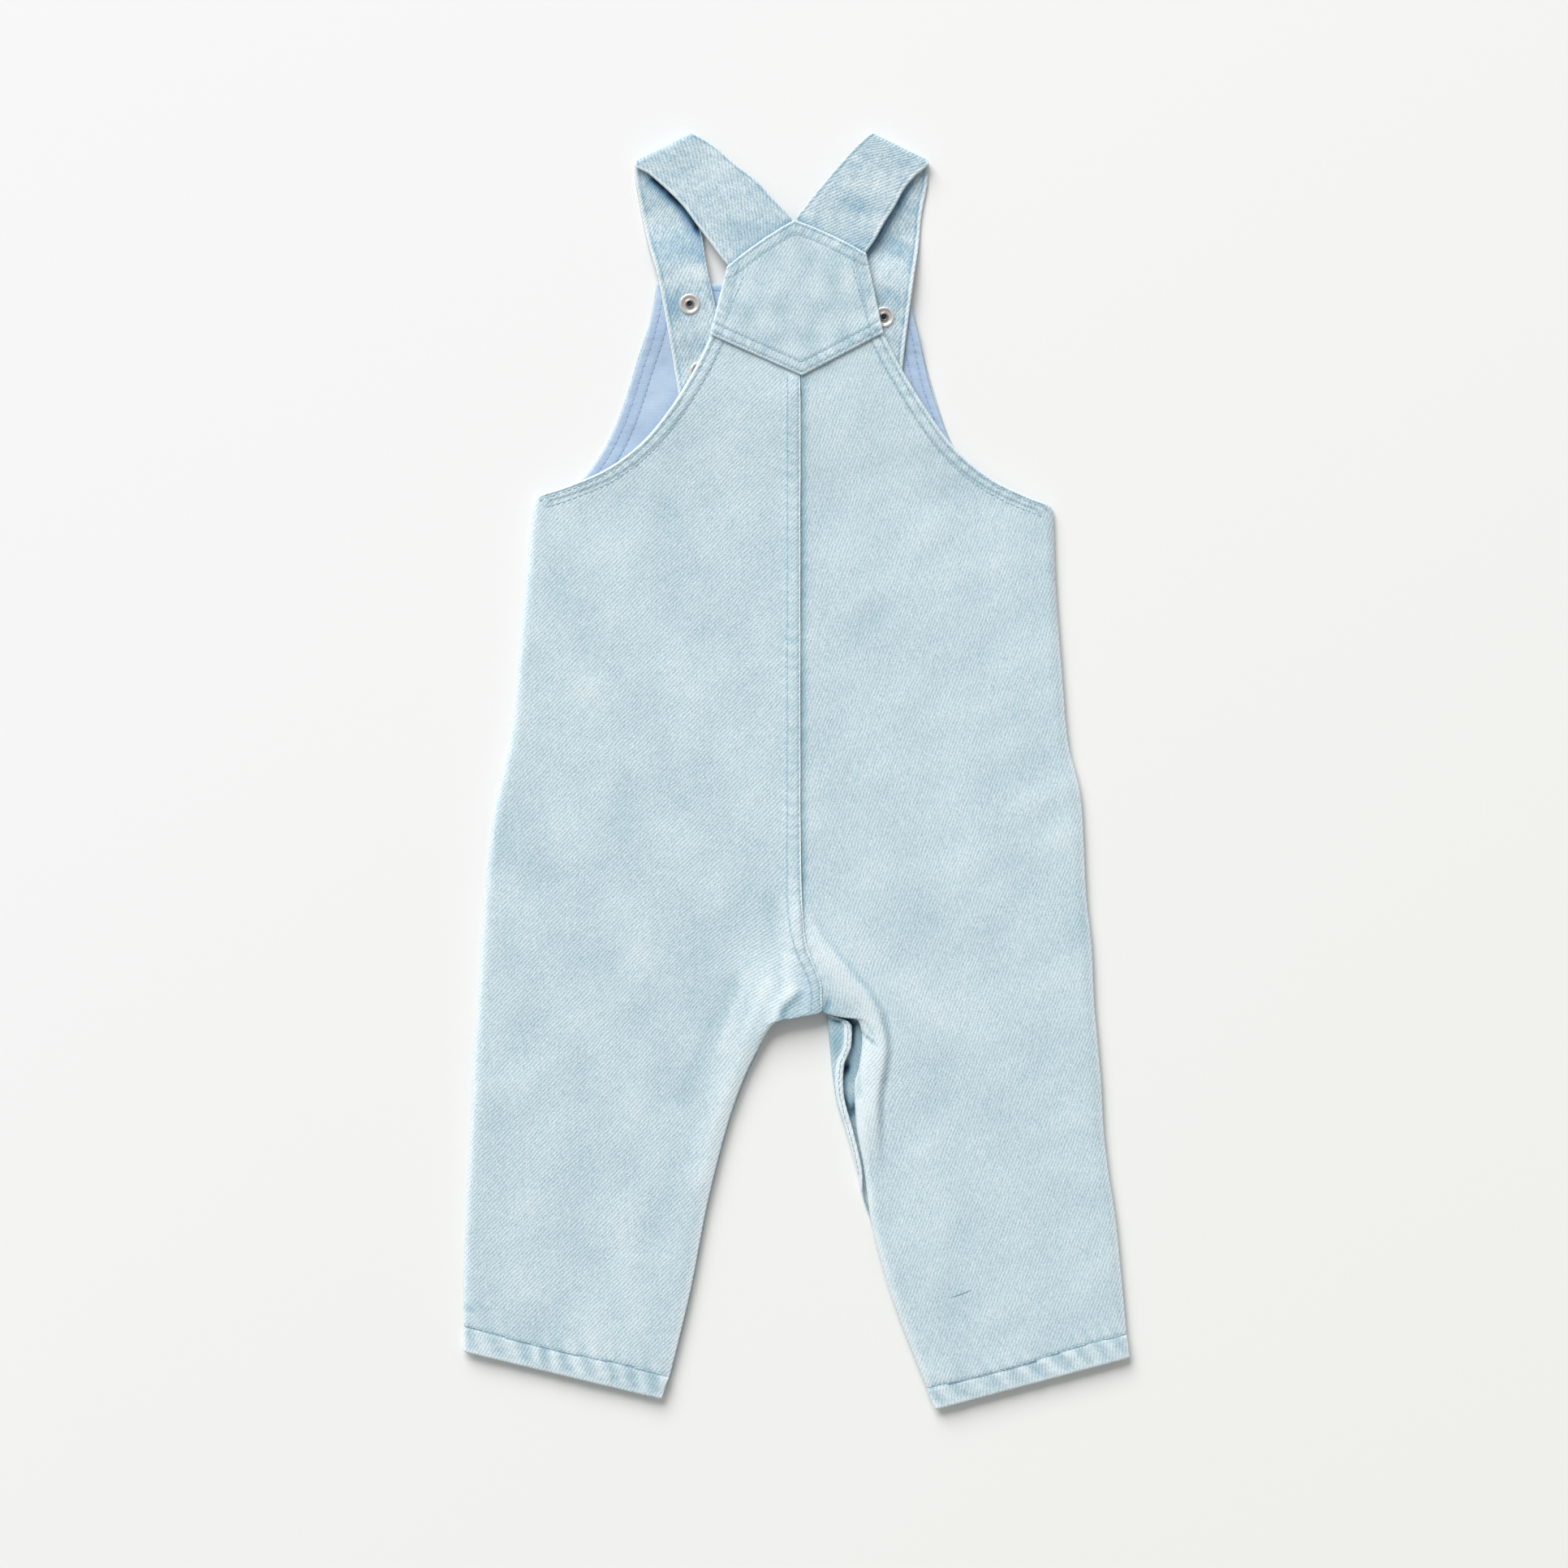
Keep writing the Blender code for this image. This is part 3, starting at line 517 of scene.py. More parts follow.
def threadMaterial(name, dark, light):
    # cotton thread: a twist across its length, a slightly different tone a stitch, and painted shade at
    # each stitch's ends
    material, tree, shader = newMaterial(name)
    fibre = noise(tree, objectPlace(tree), 0.0004, 2.0)
    share = calc(tree, "MULTIPLY_ADD", attribute(tree, "fadeAndShade"), 0.5,
                 calc(tree, "MULTIPLY_ADD", fibre, 0.6, 0.2))
    bump = addNode(tree, "ShaderNodeBump", {"Height": calc(tree, "MULTIPLY", fibre, 0.0001),
                                            "Distance": 1.0})
    feed(tree, shader, {"Base Color": mixed(tree, share, tint(*dark), tint(*light)),
                        "Normal": bump.outputs[0], "Roughness": 0.75, "Sheen Weight": 0.1})
    return material


thread = threadMaterial("blue grey thread", (98, 126, 152), (184, 206, 217))
facingThread = threadMaterial("facing thread", (118, 146, 190), (172, 196, 226))
darkThread = threadMaterial("stray blue thread", (112, 142, 178), (138, 166, 196))


def makeNickel():
    # satin plating with cloudy wear, and painted shade where the fadeAndShade attribute is low
    material, tree, shader = newMaterial("satin nickel")
    wear = noise(tree, objectPlace(tree), 0.0012, 3.0)
    unshaded = calc(tree, "MULTIPLY_ADD", attribute(tree, "fadeAndShade"), 0.5, 0.5)
    plated = mixed(tree, wear, tint(226, 222, 217), tint(246, 244, 240))
    # the dark brown is the colour of the painted shade
    feed(tree, shader, {"Base Color": mixed(tree, unshaded, tint(74, 66, 60), plated),
                        "Roughness": calc(tree, "MULTIPLY_ADD", wear, 0.2, 0.2), "Metallic": 0.55})
    return material


nickel = makeNickel()
print("materials made")

# shared levels
# heights in mm: how the layers lie on each other
level = {"front": 0.25, "facing": 2.3, "laid": 5.0, "neck": 7.2, "yoke": 8.9,
         "bibLift": 1.1, "lap": 1.3, "strapWall": 1.6, "foldRadius": 1.8, "press": 0.3}
# y at which a level starts to rise, and the length of the rise
rises = {"neck": (120.0, 56.0), "bib": (186.0, 18.0)}
crotch = {"x": 2.0, "y": -116.0, "reachX": 19.0, "reachY": 25.0, "rise": 4.0}


def laidTop(y):
    # level, then higher towards the neck, where the strap ends lie below
    start, run = rises["neck"]
    return level["laid"] + (level["neck"] - level["laid"]) * ease((y - start) / run)


def crotchLift(x, y):
    # the crotch stands higher than the legs: a soft hump round its edge
    return crotch["rise"] * (hump(x, crotch["reachX"], crotch["x"])
                             * hump(y, crotch["reachY"], crotch["y"]))


def bibLift(y):
    # level, then higher on the bib
    start, run = rises["bib"]
    return level["bibLift"] * ease((y - start) / run)


def panelUv(x, y, warpTilt, mirrored=False):
    # cloth coordinates in metres: the plan turned so that v follows the warp
    turn = math.radians(warpTilt)
    u, v = x * math.cos(turn) - y * math.sin(turn), x * math.sin(turn) + y * math.cos(turn)
    return np.stack([-u if mirrored else u, v], -1) * mm


# x, y, reach, degrees: places where the pulled cloth turns its weave
pulls = {"backLeft": ((-6.0, -100.0, 42.0, 17.0),),
         "backRight": ((36.0, -138.0, 20.0, 24.0), (22.0, -98.0, 16.0, -16.0))}


def pulledUv(name, x, y, warpTilt):
    # the plan is turned about each pull's place, less and less with distance
    for placeX, placeY, reach, degrees in pulls[name]:
        dx, dy = x - placeX, y - placeY
        turn = math.radians(degrees) * np.exp(-(dx * dx + dy * dy) / reach ** 2)
        x = placeX + dx * np.cos(turn) - dy * np.sin(turn)
        y = placeY + dx * np.sin(turn) + dy * np.cos(turn)
    return panelUv(x, y, warpTilt)


# back halves
# outerX, outerY, outerDrop, innerX, innerY, innerDrop, roll, lap
backLeftRows = (
    (-36.4, 207.2, 0, 2.3, 189.5, 0, 4.5, 0), (-39.2, 200.8, 0.1, 2.3, 182.6, 0, 4.5, 0),
    (-44.8, 189, 0.2, 2.3, 174.5, 0, 4.5, 1), (-58.2, 167, 0.7, 2.3, 148, 0, 4.5, 1),
    (-72.4, 150.4, 0.7, 2.3, 127, 0, 4.5, 1), (-89.8, 138.2, 0.7, 2.3, 100, 0, 4.5, 1),
    (-110.5, 129.9, 0.9, 2.3, 77, 0, 4.5, 1), (-118.9, 127.2, 2.2, 2.3, 69, 0, 4.5, 1),
    (-120.6, 124.5, 3.3, 2.3, 64, 0, 4.5, 1), (-124.2, 92, 3.3, 2.3, 33, 0, 4.5, 1),
    (-129.2, 38, 3.3, 2.3, -10, 0, 4.5, 1), (-131.8, 16, 3.3, 2.4, -28, 0, 4.5, 1),
    (-139, -17, 3.3, 2.8, -50, 0, 4.5, 1), (-143.2, -54, 3.3, 4.6, -76, 0, 4.5, 1),
    (-144.6, -72, 3.3, 8.6, -89.5, 0, 4.5, 1),
    (-145.4, -85, 3.3, 12.3, -100, 0.3, 2.5, 0.9),
    (-146.2, -97, 3.3, 12.5, -110.6, 0.3, 1.6, 0.4),
    (-147, -109, 3.3, 1.5, -113.6, 0.5, 1.4, 0),
    (-147.8, -120, 3.3, -8.4, -115.6, 0.7, 2, 0),
    (-148.7, -133, 3.3, -18.6, -131, 2, 4.5, 0),
    (-149.8, -156, 3.3, -29, -156, 2.3, 4.5, 0),
    (-152, -198, 3.3, -40.2, -198, 2.3, 4.5, 0),
    (-153.4, -238, 3.1, -48.4, -240, 2.3, 4.5, 0),
    (-153.2, -255.6, 2.8, -57.9, -279, 2.3, 4, 0),
    (-153.3, -257, 2.1, -58.4, -280.4, 1.8, 4, 0),
    (-153.8, -268.1, 2, -61.6, -290.2, 1.7, 4, 0),
)
backRightRows = (
    (38.8, 204.6, 0, 2.6, 189.5, 0, 4.5, 0), (40.7, 201.6, 0.1, 2.6, 182.6, 0, 4.5, 0),
    (46.6, 190, 0.2, 2.6, 174.5, 0, 4.5, 0), (60.6, 166.8, 0.7, -2.2, 148, 0, 4.5, 0),
    (73.6, 149.2, 0.7, -2.2, 127, 0, 4.5, 0), (92.6, 133.9, 0.7, -2.2, 100, 0, 4.5, 0),
    (110, 125.8, 0.9, -2.2, 77, 0, 4.5, 0), (117.4, 122.8, 2.2, -2.2, 69, 0, 4.5, 0),
    (119.1, 120.2, 3.3, -2.2, 64, 0, 4.5, 0), (120.4, 88, 3.3, -2.2, 33, 0, 4.5, 0),
    (123.4, 44, 3.3, -2.2, -4, 0, 4.5, 0), (126, 14, 3.3, -2.2, -26, 0, 4.5, 0),
    (132.2, -14, 3.3, -2, -48, 0, 4.5, 0), (134.6, -58, 3.3, -0.6, -74, 0, 4.5, 0),
    (137, -80, 3.3, 5, -87, 0, 4.5, 0), (137.6, -92, 3.3, 10.4, -98.6, 0.3, 2, 0),
    (138, -103, 3.3, 11.4, -110.3, 1.2, 2, 0),
    (138.6, -112, 3.3, 20, -113.4, 0.2, 4.5, 0),
    (139.4, -120, 3.3, 28.6, -115, 0.6, 5.5, 0),
    (140, -127, 3.3, 30.8, -124, 2.6, 5, 0),
    (140.8, -136, 3.3, 29.4, -136, 2.6, 5, 0),
    (141.6, -146, 3.3, 27.2, -146, 2.6, 5, 0),
    (142.4, -163, 3.3, 28, -163, 2.6, 5, 0),
    (144.6, -184, 3.3, 31.6, -184, 2.7, 4.5, 0),
    (148, -206, 3.3, 34.8, -207, 2.7, 4.5, 0),
    (151.2, -238, 3.1, 43.5, -240, 2.6, 4.5, 0),
    (153.2, -260.2, 2.8, 60.4, -284.4, 2.5, 4, 0),
    (153.4, -261.8, 2.1, 60.8, -286, 1.9, 4, 0),
    (154.5, -271, 2, 64.3, -295.1, 1.8, 4, 0),
)
# x0, y0, x1, y1, half width, rise, wear (paler above 0, bluer below, partly painted shade in troughs)
mainFolds = (
    (1, -68, -9, -95, 8.5, 0.8, 0.2), (-9, -95, -20, -120, 9, 0.8, 0.22),
    (-20, -120, -31, -150, 8.5, 0.8, 0.26), (-31, -150, -41, -188, 7.5, 0.6, 0.25),
    (8, -76, 24, -104, 6, 0.5, 0.12),
)
# crests with one steep side: line, tapers at both ends, rise, slow and fast side, tones: paler beside the
# crest, painted shade in the trough
steepFolds = (
    (((38.3, -190), (37.5, -169), (37.5, -154), (38.3, -146), (39.8, -139), (41.3, -129),
      (40.9, -122), (38.3, -112.5), (33.8, -104), (26.3, -95), (18.8, -86), (12, -78), (7, -68),
      (4, -54)), (38, 44), 2.0, 8.5, 1.8, 0.4, 0.46),
    (((-8.8, -118), (-7.1, -110.3), (-5.3, -107.6), (-2.6, -105), (0, -102.4), (3, -98.8)),
     (0.5, 6), 1.1, 3.5, 1.5, 0.3, 0.8),
)
# small creases, with columns as in mainFolds
fineCreases = (
    (30.4, -120.4, 36.8, -126, 0.7, -0.7, -1.15), (33, -117.6, 36, -121, 0.8, -0.3, -0.4),
    (13.2, -112.8, 15.2, -107, 1.5, -0.6, -1), (-3, -88, -2, -104, 3.5, 0.3, 0.3),
    (29.5, -121, 29, -150, 1.6, -0.2, -0.55), (-13, -98, -24, -124, 2.4, 0.22, 0.15),
    (-22, -96, -33, -128, 3.5, 0.16, 0.2), (-30, -100, -52, -150, 5, -0.16, -0.2),
    (-12, -60, -8, -96, 4, -0.16, -0.15), (18, -66, 40, -92, 6, 0.15, 0.1),
    (44, -96, 70, -118, 7, 0.16, 0.12), (-120, 62, -96, 40, 7, 0.18, 0.1),
    (-126, 20, -100, 6, 6, 0.2, 0.1), (-140, -40, -110, -48, 8, -0.16, -0.1),
    (-146, -150, -120, -142, 7, 0.16, 0.1), (118, 60, 96, 44, 7, 0.18, 0.1),
    (128, -6, 104, -16, 6, 0.2, 0.1), (136, -76, 112, -84, 7, -0.16, -0.1),
    (142, -190, 118, -182, 7, 0.16, 0.1), (-60, 120, -40, 90, 8, -0.15, -0.1),
    (62, 118, 44, 86, 8, 0.15, 0.1), (-153, -247.5, -149.5, -249, 1.5, -0.12, -0.4),
    (-147.5, -246.5, -143, -248.5, 1.1, -0.1, -0.2), (70, -200, 62, -250, 6, 0.16, 0.1),
    (-80, -205, -74, -255, 6, 0.16, 0.1),
)
# rows of stitches, as plan lines
seamLines = {
    "backUpperLeft": [(-3.7, 182), (-3.7, 60), (-3.9, -55), (-3, -68), (-1.5, -77.6),
                      (1.5, -86.3), (4.5, -92.3), (6, -95.6), (7.1, -100.5), (7.5, -105),
                      (7.1, -110.6)],
    "backUpperRight": [(1.45, 180.6), (1.45, 60), (1.45, -40), (2, -57), (3.4, -76),
                       (4.5, -83.2), (6.8, -87.8), (8.6, -91.9), (10.1, -95.3), (10.9, -100.1),
                       (10.9, -108.6)],
    "hemLeft": [(-152.9, -256.1), (-132.4, -261.8), (-108, -268.1), (-83.6, -273),
                (-59.3, -279.4)],
    "hemRight": [(61.1, -284.6), (78, -280.9), (102.4, -274.9), (118.9, -269.3),
                 (135, -264.4), (152.9, -259.9)],
}
backSizes = {
    "rowGap": 1.65, "middleColumns": 84, "wall": 0.8,
    "nearOuter": (0, .15, .35, .6, .9, 1.3, 1.75, 2.2, 2.65, 3.2, 3.9, 4.7, 5.5, 6, 6.45, 6.95, 7.8),
    "nearInner": (0, .12, .3, .55, .85, 1.2, 1.7, 2.3, 3, 3.8, 4.6, 5.4, 6, 6.5, 7.3, 8.5),
    "hemGaps": (0, .15, .4, .8, 1.4, 2.2, 3.2, 4.4, 5.6, 6.8, 8, 9.2, 10.3, 11, 11.6, 12.2, 13, 14),
    "armholeRows": (2.2, 6.4), "unevenness": 0.16, "bandTurn": 15.0, "hemCorner": 2.4,
    "hemRound": 0.8, "gentleReach": 6.0, "armholeEnd": 7.2, "hemRows": 5, "lapWidth": 8.5,
    "lapRamp": 3.5, "gentleBelow": -120.0, "inseamBelow": -113.0, "stripAbove": -95.0,
}
# seams, as rows of mm from the edge or seam, width, and height or tone
armholeGrooves = ((0, 0.5, -0.5), (2.2, 0.55, -0.2), (6.4, 0.6, -0.2))
armholeTone = ((0, 1.1, 0.45), (2.4, 0.6, -0.4), (6.5, 0.7, -0.42))


def hemShape(afterRow, fromSide):
    # the hem's corners are round: its end is drawn in by a quarter circle
    corner = 1 - quarterRound(fromSide / backSizes["hemCorner"])
    return backSizes["hemRound"] * ease(afterRow) * corner


def gentleEdge(distance, share, steep):
    # 1 at the edge: share is a slope that ends at gentleReach, the rest a steep quarter circle
    slope = np.clip(1 - distance / backSizes["gentleReach"], 0, 1) ** 2
    return share * slope + (1 - share) * (1 - quarterRound(distance / steep))


def backPlan(table):
    # plan: straight from outer to inner edge, columns closer at both edges
    at = evenRows(table, backSizes["rowGap"], (0, 3), backSizes["hemGaps"])
    rows = throughRows(table, at)
    outer, inner = rows[:, 0:2], rows[:, 3:5]
    width = np.linalg.norm(inner - outer, axis=1)[:, None]
    near, far = np.array(backSizes["nearOuter"]), np.array(backSizes["nearInner"][::-1])
    inside = np.linspace(0, 1, backSizes["middleColumns"] + 2)[1:-1]
    start, end = near[-1], width - far[0]
    fromOuter = np.concatenate([np.broadcast_to(near, (len(rows), len(near))),
                                start + (end - start) * inside, width - far], axis=1)
    plan = outer[:, None] + (inner - outer)[:, None] * (fromOuter / width)[..., None]
    at = at[:, None]
    fromInner = width - fromOuter
    drawnIn = hemShape(at - (len(table) - 2), np.minimum(fromOuter, fromInner))
    return at, rows, plan[..., 0], plan[..., 1] + drawnIn, fromOuter, fromInner


def backHem(x, y, hem, ends, isHem, seed):
    # turned band under the stitched row: roping is a sine that leans and wanders along
    # it, with a groove at the stitches, a rounded lower edge and puckers above
    fromEnd = awayFrom(x, y, ends)
    arc, fromStitch = alongLine(x, y, hem, signed=True)
    inBand = ease(0.4 - fromStitch) * isHem
    rope = np.sin(2 * math.pi * ((arc + 0.55 * fromEnd) / 11.2) + 1.1 * np.sin(arc / 17.0 + seed)
                  + 0.8 * np.sin(arc / 6.3)) * (0.8 + 0.2 * np.sin(arc / 9.0 + seed))
    rope = rope + 0.2 * ripples(x, y, 5.0, seed + 40)
    above = puckers(x, y, hem, 9.5, 6.0, seed + 7) * (1 - inBand)
    height = inBand * (0.35 + 0.20 * rope) - 0.28 * hump(fromStitch, 0.7) + 0.12 * above
    height -= np.where(inBand > 0, 0.9 * (1 - quarterRound(fromEnd / 1.1)), 0)
    fadeAndShade = (inBand * (0.34 * rope * ease(fromEnd / 5.0) + 0.6 * hump(fromEnd, 1.2))
            - 0.55 * hump(fromStitch, 0.6) + 0.2 * above)
    return height, fadeAndShade, inBand


def makeBack(name, table, warpTilt, seams, hem, seed):
    # height: the laid level plus folds, creases and the lap, less a quarter circle at
    # rolled edges, plus shallow waves of the cloth, puckers and grooves along the seams
    at, rows, x, y, fromOuter, fromInner = backPlan(table)
    outer, inner = rows[:, 0:2], rows[:, 3:5]
    outerDrop, innerDrop, roll, lap = [rows[:, c:c + 1] for c in (2, 5, 6, 7)]
    base = laidTop(y) + crotchLift(x, y)
    folds, foldWearAndShade = creaseField(x, y, mainFolds)
    fine, fineWearAndShade = creaseField(x, y, fineCreases)
    for fold in steepFolds:
        height, tone = steepFold(x, y, *fold)
        folds, foldWearAndShade = folds + height, foldWearAndShade + tone
    swell = (0.5 * ripples(x, y, 46.0, seed) + 0.32 * ripples(x, y, 17.0, seed + 1)
             + 0.12 * ripples(x, y, 7.0, seed + 2))
    top = (base + folds + fine + backSizes["unevenness"] * swell
           + level["lap"] * lap * ease((backSizes["lapWidth"] - fromInner) / backSizes["lapRamp"]))
    outerLow = base - outerDrop
    innerLow = base - innerDrop + level["lap"] * lap
    # two long edges slope gently and only their last part is steep
    innerRound = 1 - quarterRound(fromInner / roll)
    soft = ease((backSizes["gentleBelow"] - y) / 14.0) * (name == "backLeft")
    innerRound += (gentleEdge(fromInner, 0.42, 0.28) - innerRound) * soft
    outerRound = 1 - quarterRound(fromOuter / np.where(outerDrop < 1.6, 1.5, 4.5))
    soft = ease(at - 9.0) * (name == "backRight")
    outerRound += (gentleEdge(fromOuter, 0.45, 0.33) - outerRound) * soft
    height = top - (top - outerLow) * outerRound - (top - innerLow) * innerRound
    # painted shade: the lifted crotch faces the light, so it is darkened a little
    fadeAndShade = foldWearAndShade + fineWearAndShade + 0.10 * swell - 0.07 * crotchLift(x, y)
    # armhole hem: bead, two grooves, puckered band
    armhole = (1 - ease((at - backSizes["armholeEnd"]) / 0.9)) * ease(at * 3)
    pucker = puckers(x, y, outer[at[:, 0] < 8], 5.6, 7.0, seed)
    height += armhole * (relief(fromOuter, armholeGrooves) + 0.22 * hump(fromOuter, 0.8, 1.2)
                         + 0.16 * pucker + 0.25 * ease((7.4 - fromOuter) / 1.4) * ease(fromOuter))
    fadeAndShade += armhole * (relief(fromOuter, armholeTone) + 0.3 * pucker * ease(fromOuter / 2.2))
    fadeAndShade += (1 - armhole) * 0.45 * hump(fromOuter, 1.6)
    # painted light: paler along the legs' inner edges below the inseam, against the shade on their slope
    fadeAndShade += 0.5 * hump(fromInner, 2.6) * ease((backSizes["inseamBelow"] - y) / 8)
    # centre-back lap: pale edge, seam grooves and puckers
    lapShare = ease((y + 116) / 20) * ease((y + 118) / 8)
    for line in seams:
        away = awayFrom(x, y, line)
        height -= 0.2 * hump(away, 0.55) * lapShare
        fadeAndShade -= 0.3 * hump(away, 0.8) * lapShare
    middle = [(a + b) / 2 for a, b in zip(resample(seams[0], 12), resample(seams[-1], 12))]
    wave = puckers(x, y, middle, 6.2, 4.6, seed + 4) * lapShare
    height += 0.13 * wave
    fadeAndShade += 0.2 * wave
    if lap.max() > 0.5:
        fadeAndShade += 0.75 * hump(fromInner, 0.7) * (lap > 0.5)
    else:
        # shaded strip of the right half along the lap
        fadeAndShade -= 0.55 * hump(x, 1.8, 3.4) * (y > backSizes["stripAbove"])
    hemHeight, hemFade, inBand = backHem(x, y, hem, (outer[-1], inner[-1]),
                                         at > len(table) - backSizes["hemRows"], seed)
    thick = np.where(inBand > 0.5, 1.0, np.where((armhole > 0.5) & (fromOuter < 7), 0.5, 0.0))
    # the turned band shows its twill steeper than the leg does
    uv = np.where(inBand[..., None] > 0.5, panelUv(x, y, warpTilt - backSizes["bandTurn"]),
                  pulledUv(name, x, y, warpTilt))
    item = makeSheet(name, np.stack([x, y, height + hemHeight], -1), uv, fadeAndShade + hemFade,
                     backSizes["wall"], denimBody, thick=thick)
    return item, outer[(at[:, 0] > 0.4) & (at[:, 0] < 7.6)]


backLeft, leftArm = makeBack(
    "backLeft", backLeftRows, 12.2, (seamLines["backUpperLeft"], seamLines["backUpperRight"]),
    seamLines["hemLeft"], 3)
backRight, rightArm = makeBack(
    "backRight", backRightRows, -12.2, (seamLines["backUpperRight"],), seamLines["hemRight"], 8)
print("back halves made")

# front halves
# outerX, outerY, innerX, innerY, curl
frontLeftRows = (
    (-63.8, 226.9, -5.6, 223.7, 0), (-67, 209, -5, 207, 0), (-72.4, 192.4, -4.7, 188, 0),
    (-79.1, 170.6, -4.2, 164, 0), (-84.4, 157.1, -3.9, 148, 0), (-90.4, 145.9, -3.6, 132, 0),
    (-99.4, 134.3, -3.3, 113, 0), (-110, 129.6, -3, 97, 0), (-119, 126.8, -2.7, 83, 0),
    (-120.8, 122, -2.4, 74, 0), (-123.8, 92, -1.9, 46, 0), (-128.8, 38, -1, 6, 0),
    (-131.4, 16, -0.5, -16, 0), (-138.6, -17, 0.3, -46, 0), (-142.8, -54, 1.4, -78, 0),
    (-144.8, -80, 2.4, -101, 0), (-146, -100, 2.7, -108.6, 0),
    (-147, -115, -8.2, -113.4, 0), (-148.3, -133, -18.2, -131.6, 0),
    (-149.4, -156, -28.4, -156.2, 0), (-151.6, -198, -39.8, -198.2, 0),
    (-153, -238, -48, -240, 0), (-152.9, -255.8, -57.5, -279.2, 0),
    (-153, -257.2, -58, -280.6, 0), (-153.5, -268, -61.2, -290.1, 0),
)
frontRightRows = (
    (52.9, 220.5, -5.3, 223.7, 1.2), (55.6, 208, -4.7, 207, 1.2), (59.9, 190, -4.4, 188, 1.2),
    (64.8, 172.5, -3.9, 164, 1.2), (71.3, 153.8, -3.6, 148, 1.2), (77.2, 144.2, -3.3, 132, 1.2),
    (86.5, 135.2, -3, 113, 1.2), (101, 127.6, -2.7, 97, 1.2), (116.6, 121.9, -2.4, 83, 1.2),
    (118.9, 117, -2.1, 74, 1.2), (120, 88, -1.6, 46, 1.2), (123, 44, -0.7, 6, 1.2),
    (125.6, 14, -0.2, -16, 1.2), (131.8, -14, 0.6, -46, 1.2), (134.2, -58, 1.7, -78, 1.2),
    (136.8, -80, 2.7, -100, 1.2), (137.4, -95, 6, -108.4, 1.2),
    (137.7, -103, 12.9, -109.4, 1.2), (138, -107.5, 13.8, -111.4, 4.5),
    (138.3, -111.5, 14.4, -113.8, 9.5), (138.7, -116.5, 15, -117.4, 15),
    (139.7, -127, 15.9, -127, 13.8), (140.4, -136, 16.6, -136, 9.8),
    (141.4, -150, 18.5, -150, 7.8), (142.3, -166, 23.1, -166, 7.4),
    (144.3, -184, 28.2, -184, 6.4), (146.2, -197, 31.1, -197, 3.6),
    (148, -208, 35, -209, 1.2), (150.8, -238, 43.9, -240, 1.2),
    (152.8, -260.4, 60.8, -284.6, 1.2), (153, -262, 61.2, -286.2, 1.2),
    (154.1, -270.9, 64.7, -295, 1.2),
)
# x, y, reach in x and y, tone: places of the open inseam darkened by painted shadow, and one paler place
inseamShadeSpots = ((20, -115, 3.6, 1.7, -1.6), (26.3, -118, 1.8, 2.8, -1.5), (24, -137, 1.8, 3.4, -1.5),
           (27, -156, 1.6, 3.6, -1.5), (25.5, -147, 2, 3, 0.35), (18.6, -126, 2.6, 5, -0.6))
frontSizes = {"rowGap": 2.2, "columns": 60, "curlColumns": 30, "curlRadius": 1.8, "wall": 0.7,
              "seamRidge": 0.55, "ridgeAt": 1.9, "shorter": 0.8, "crowding": 0.045}


def frontHem(x, y, ends, isHem):
    # turned band: roping is a leaning sine along it, with a groove at the stitches
    arc, fromEnd = alongLine(x, y, ends)
    inBand = ease((12.2 - fromEnd) / 1.2) * isHem
    rope = np.sin(2 * math.pi * (arc + 0.5 * fromEnd) / 11.0 + 1.2 * np.sin(arc / 15.0))
    fadeAndShade = inBand * (0.45 * rope + 0.7 * hump(fromEnd, 1.4) - 0.6 * hump(fromEnd, 0.8, 11.3))
    return 0.06 * inBand * (1 + rope), fadeAndShade, inBand


def insideShade(x, y, fromTurn, curl, fromCurl):
    # the cloth's inner side seen down the gap beside the seam ridge: its unfaded blue, with painted
    # shadow beside the ridge and at the darkest places in it
    inside = ease((curl - 3.0) / 3.0) * (1 - fromCurl) * ease((curl + 8.0 - fromTurn) / 3.0)
    inside *= ease((y + 174.0) / 14.0)
    besideRidge = hump(fromTurn, 1.5, curl - math.pi * frontSizes["curlRadius"])
    broken = 0.6 + 0.5 * np.sin((y + 118.0) / 3.3) * np.sin((y + 118.0) / 7.7)
    fadeAndShade = -inside * (0.5 + 1.5 * besideRidge * broken)
    for spotX, spotY, reachX, reachY, tone in inseamShadeSpots:
        fadeAndShade += tone * hump(x, reachX, spotX) * hump(y, reachY, spotY)
    return fadeAndShade


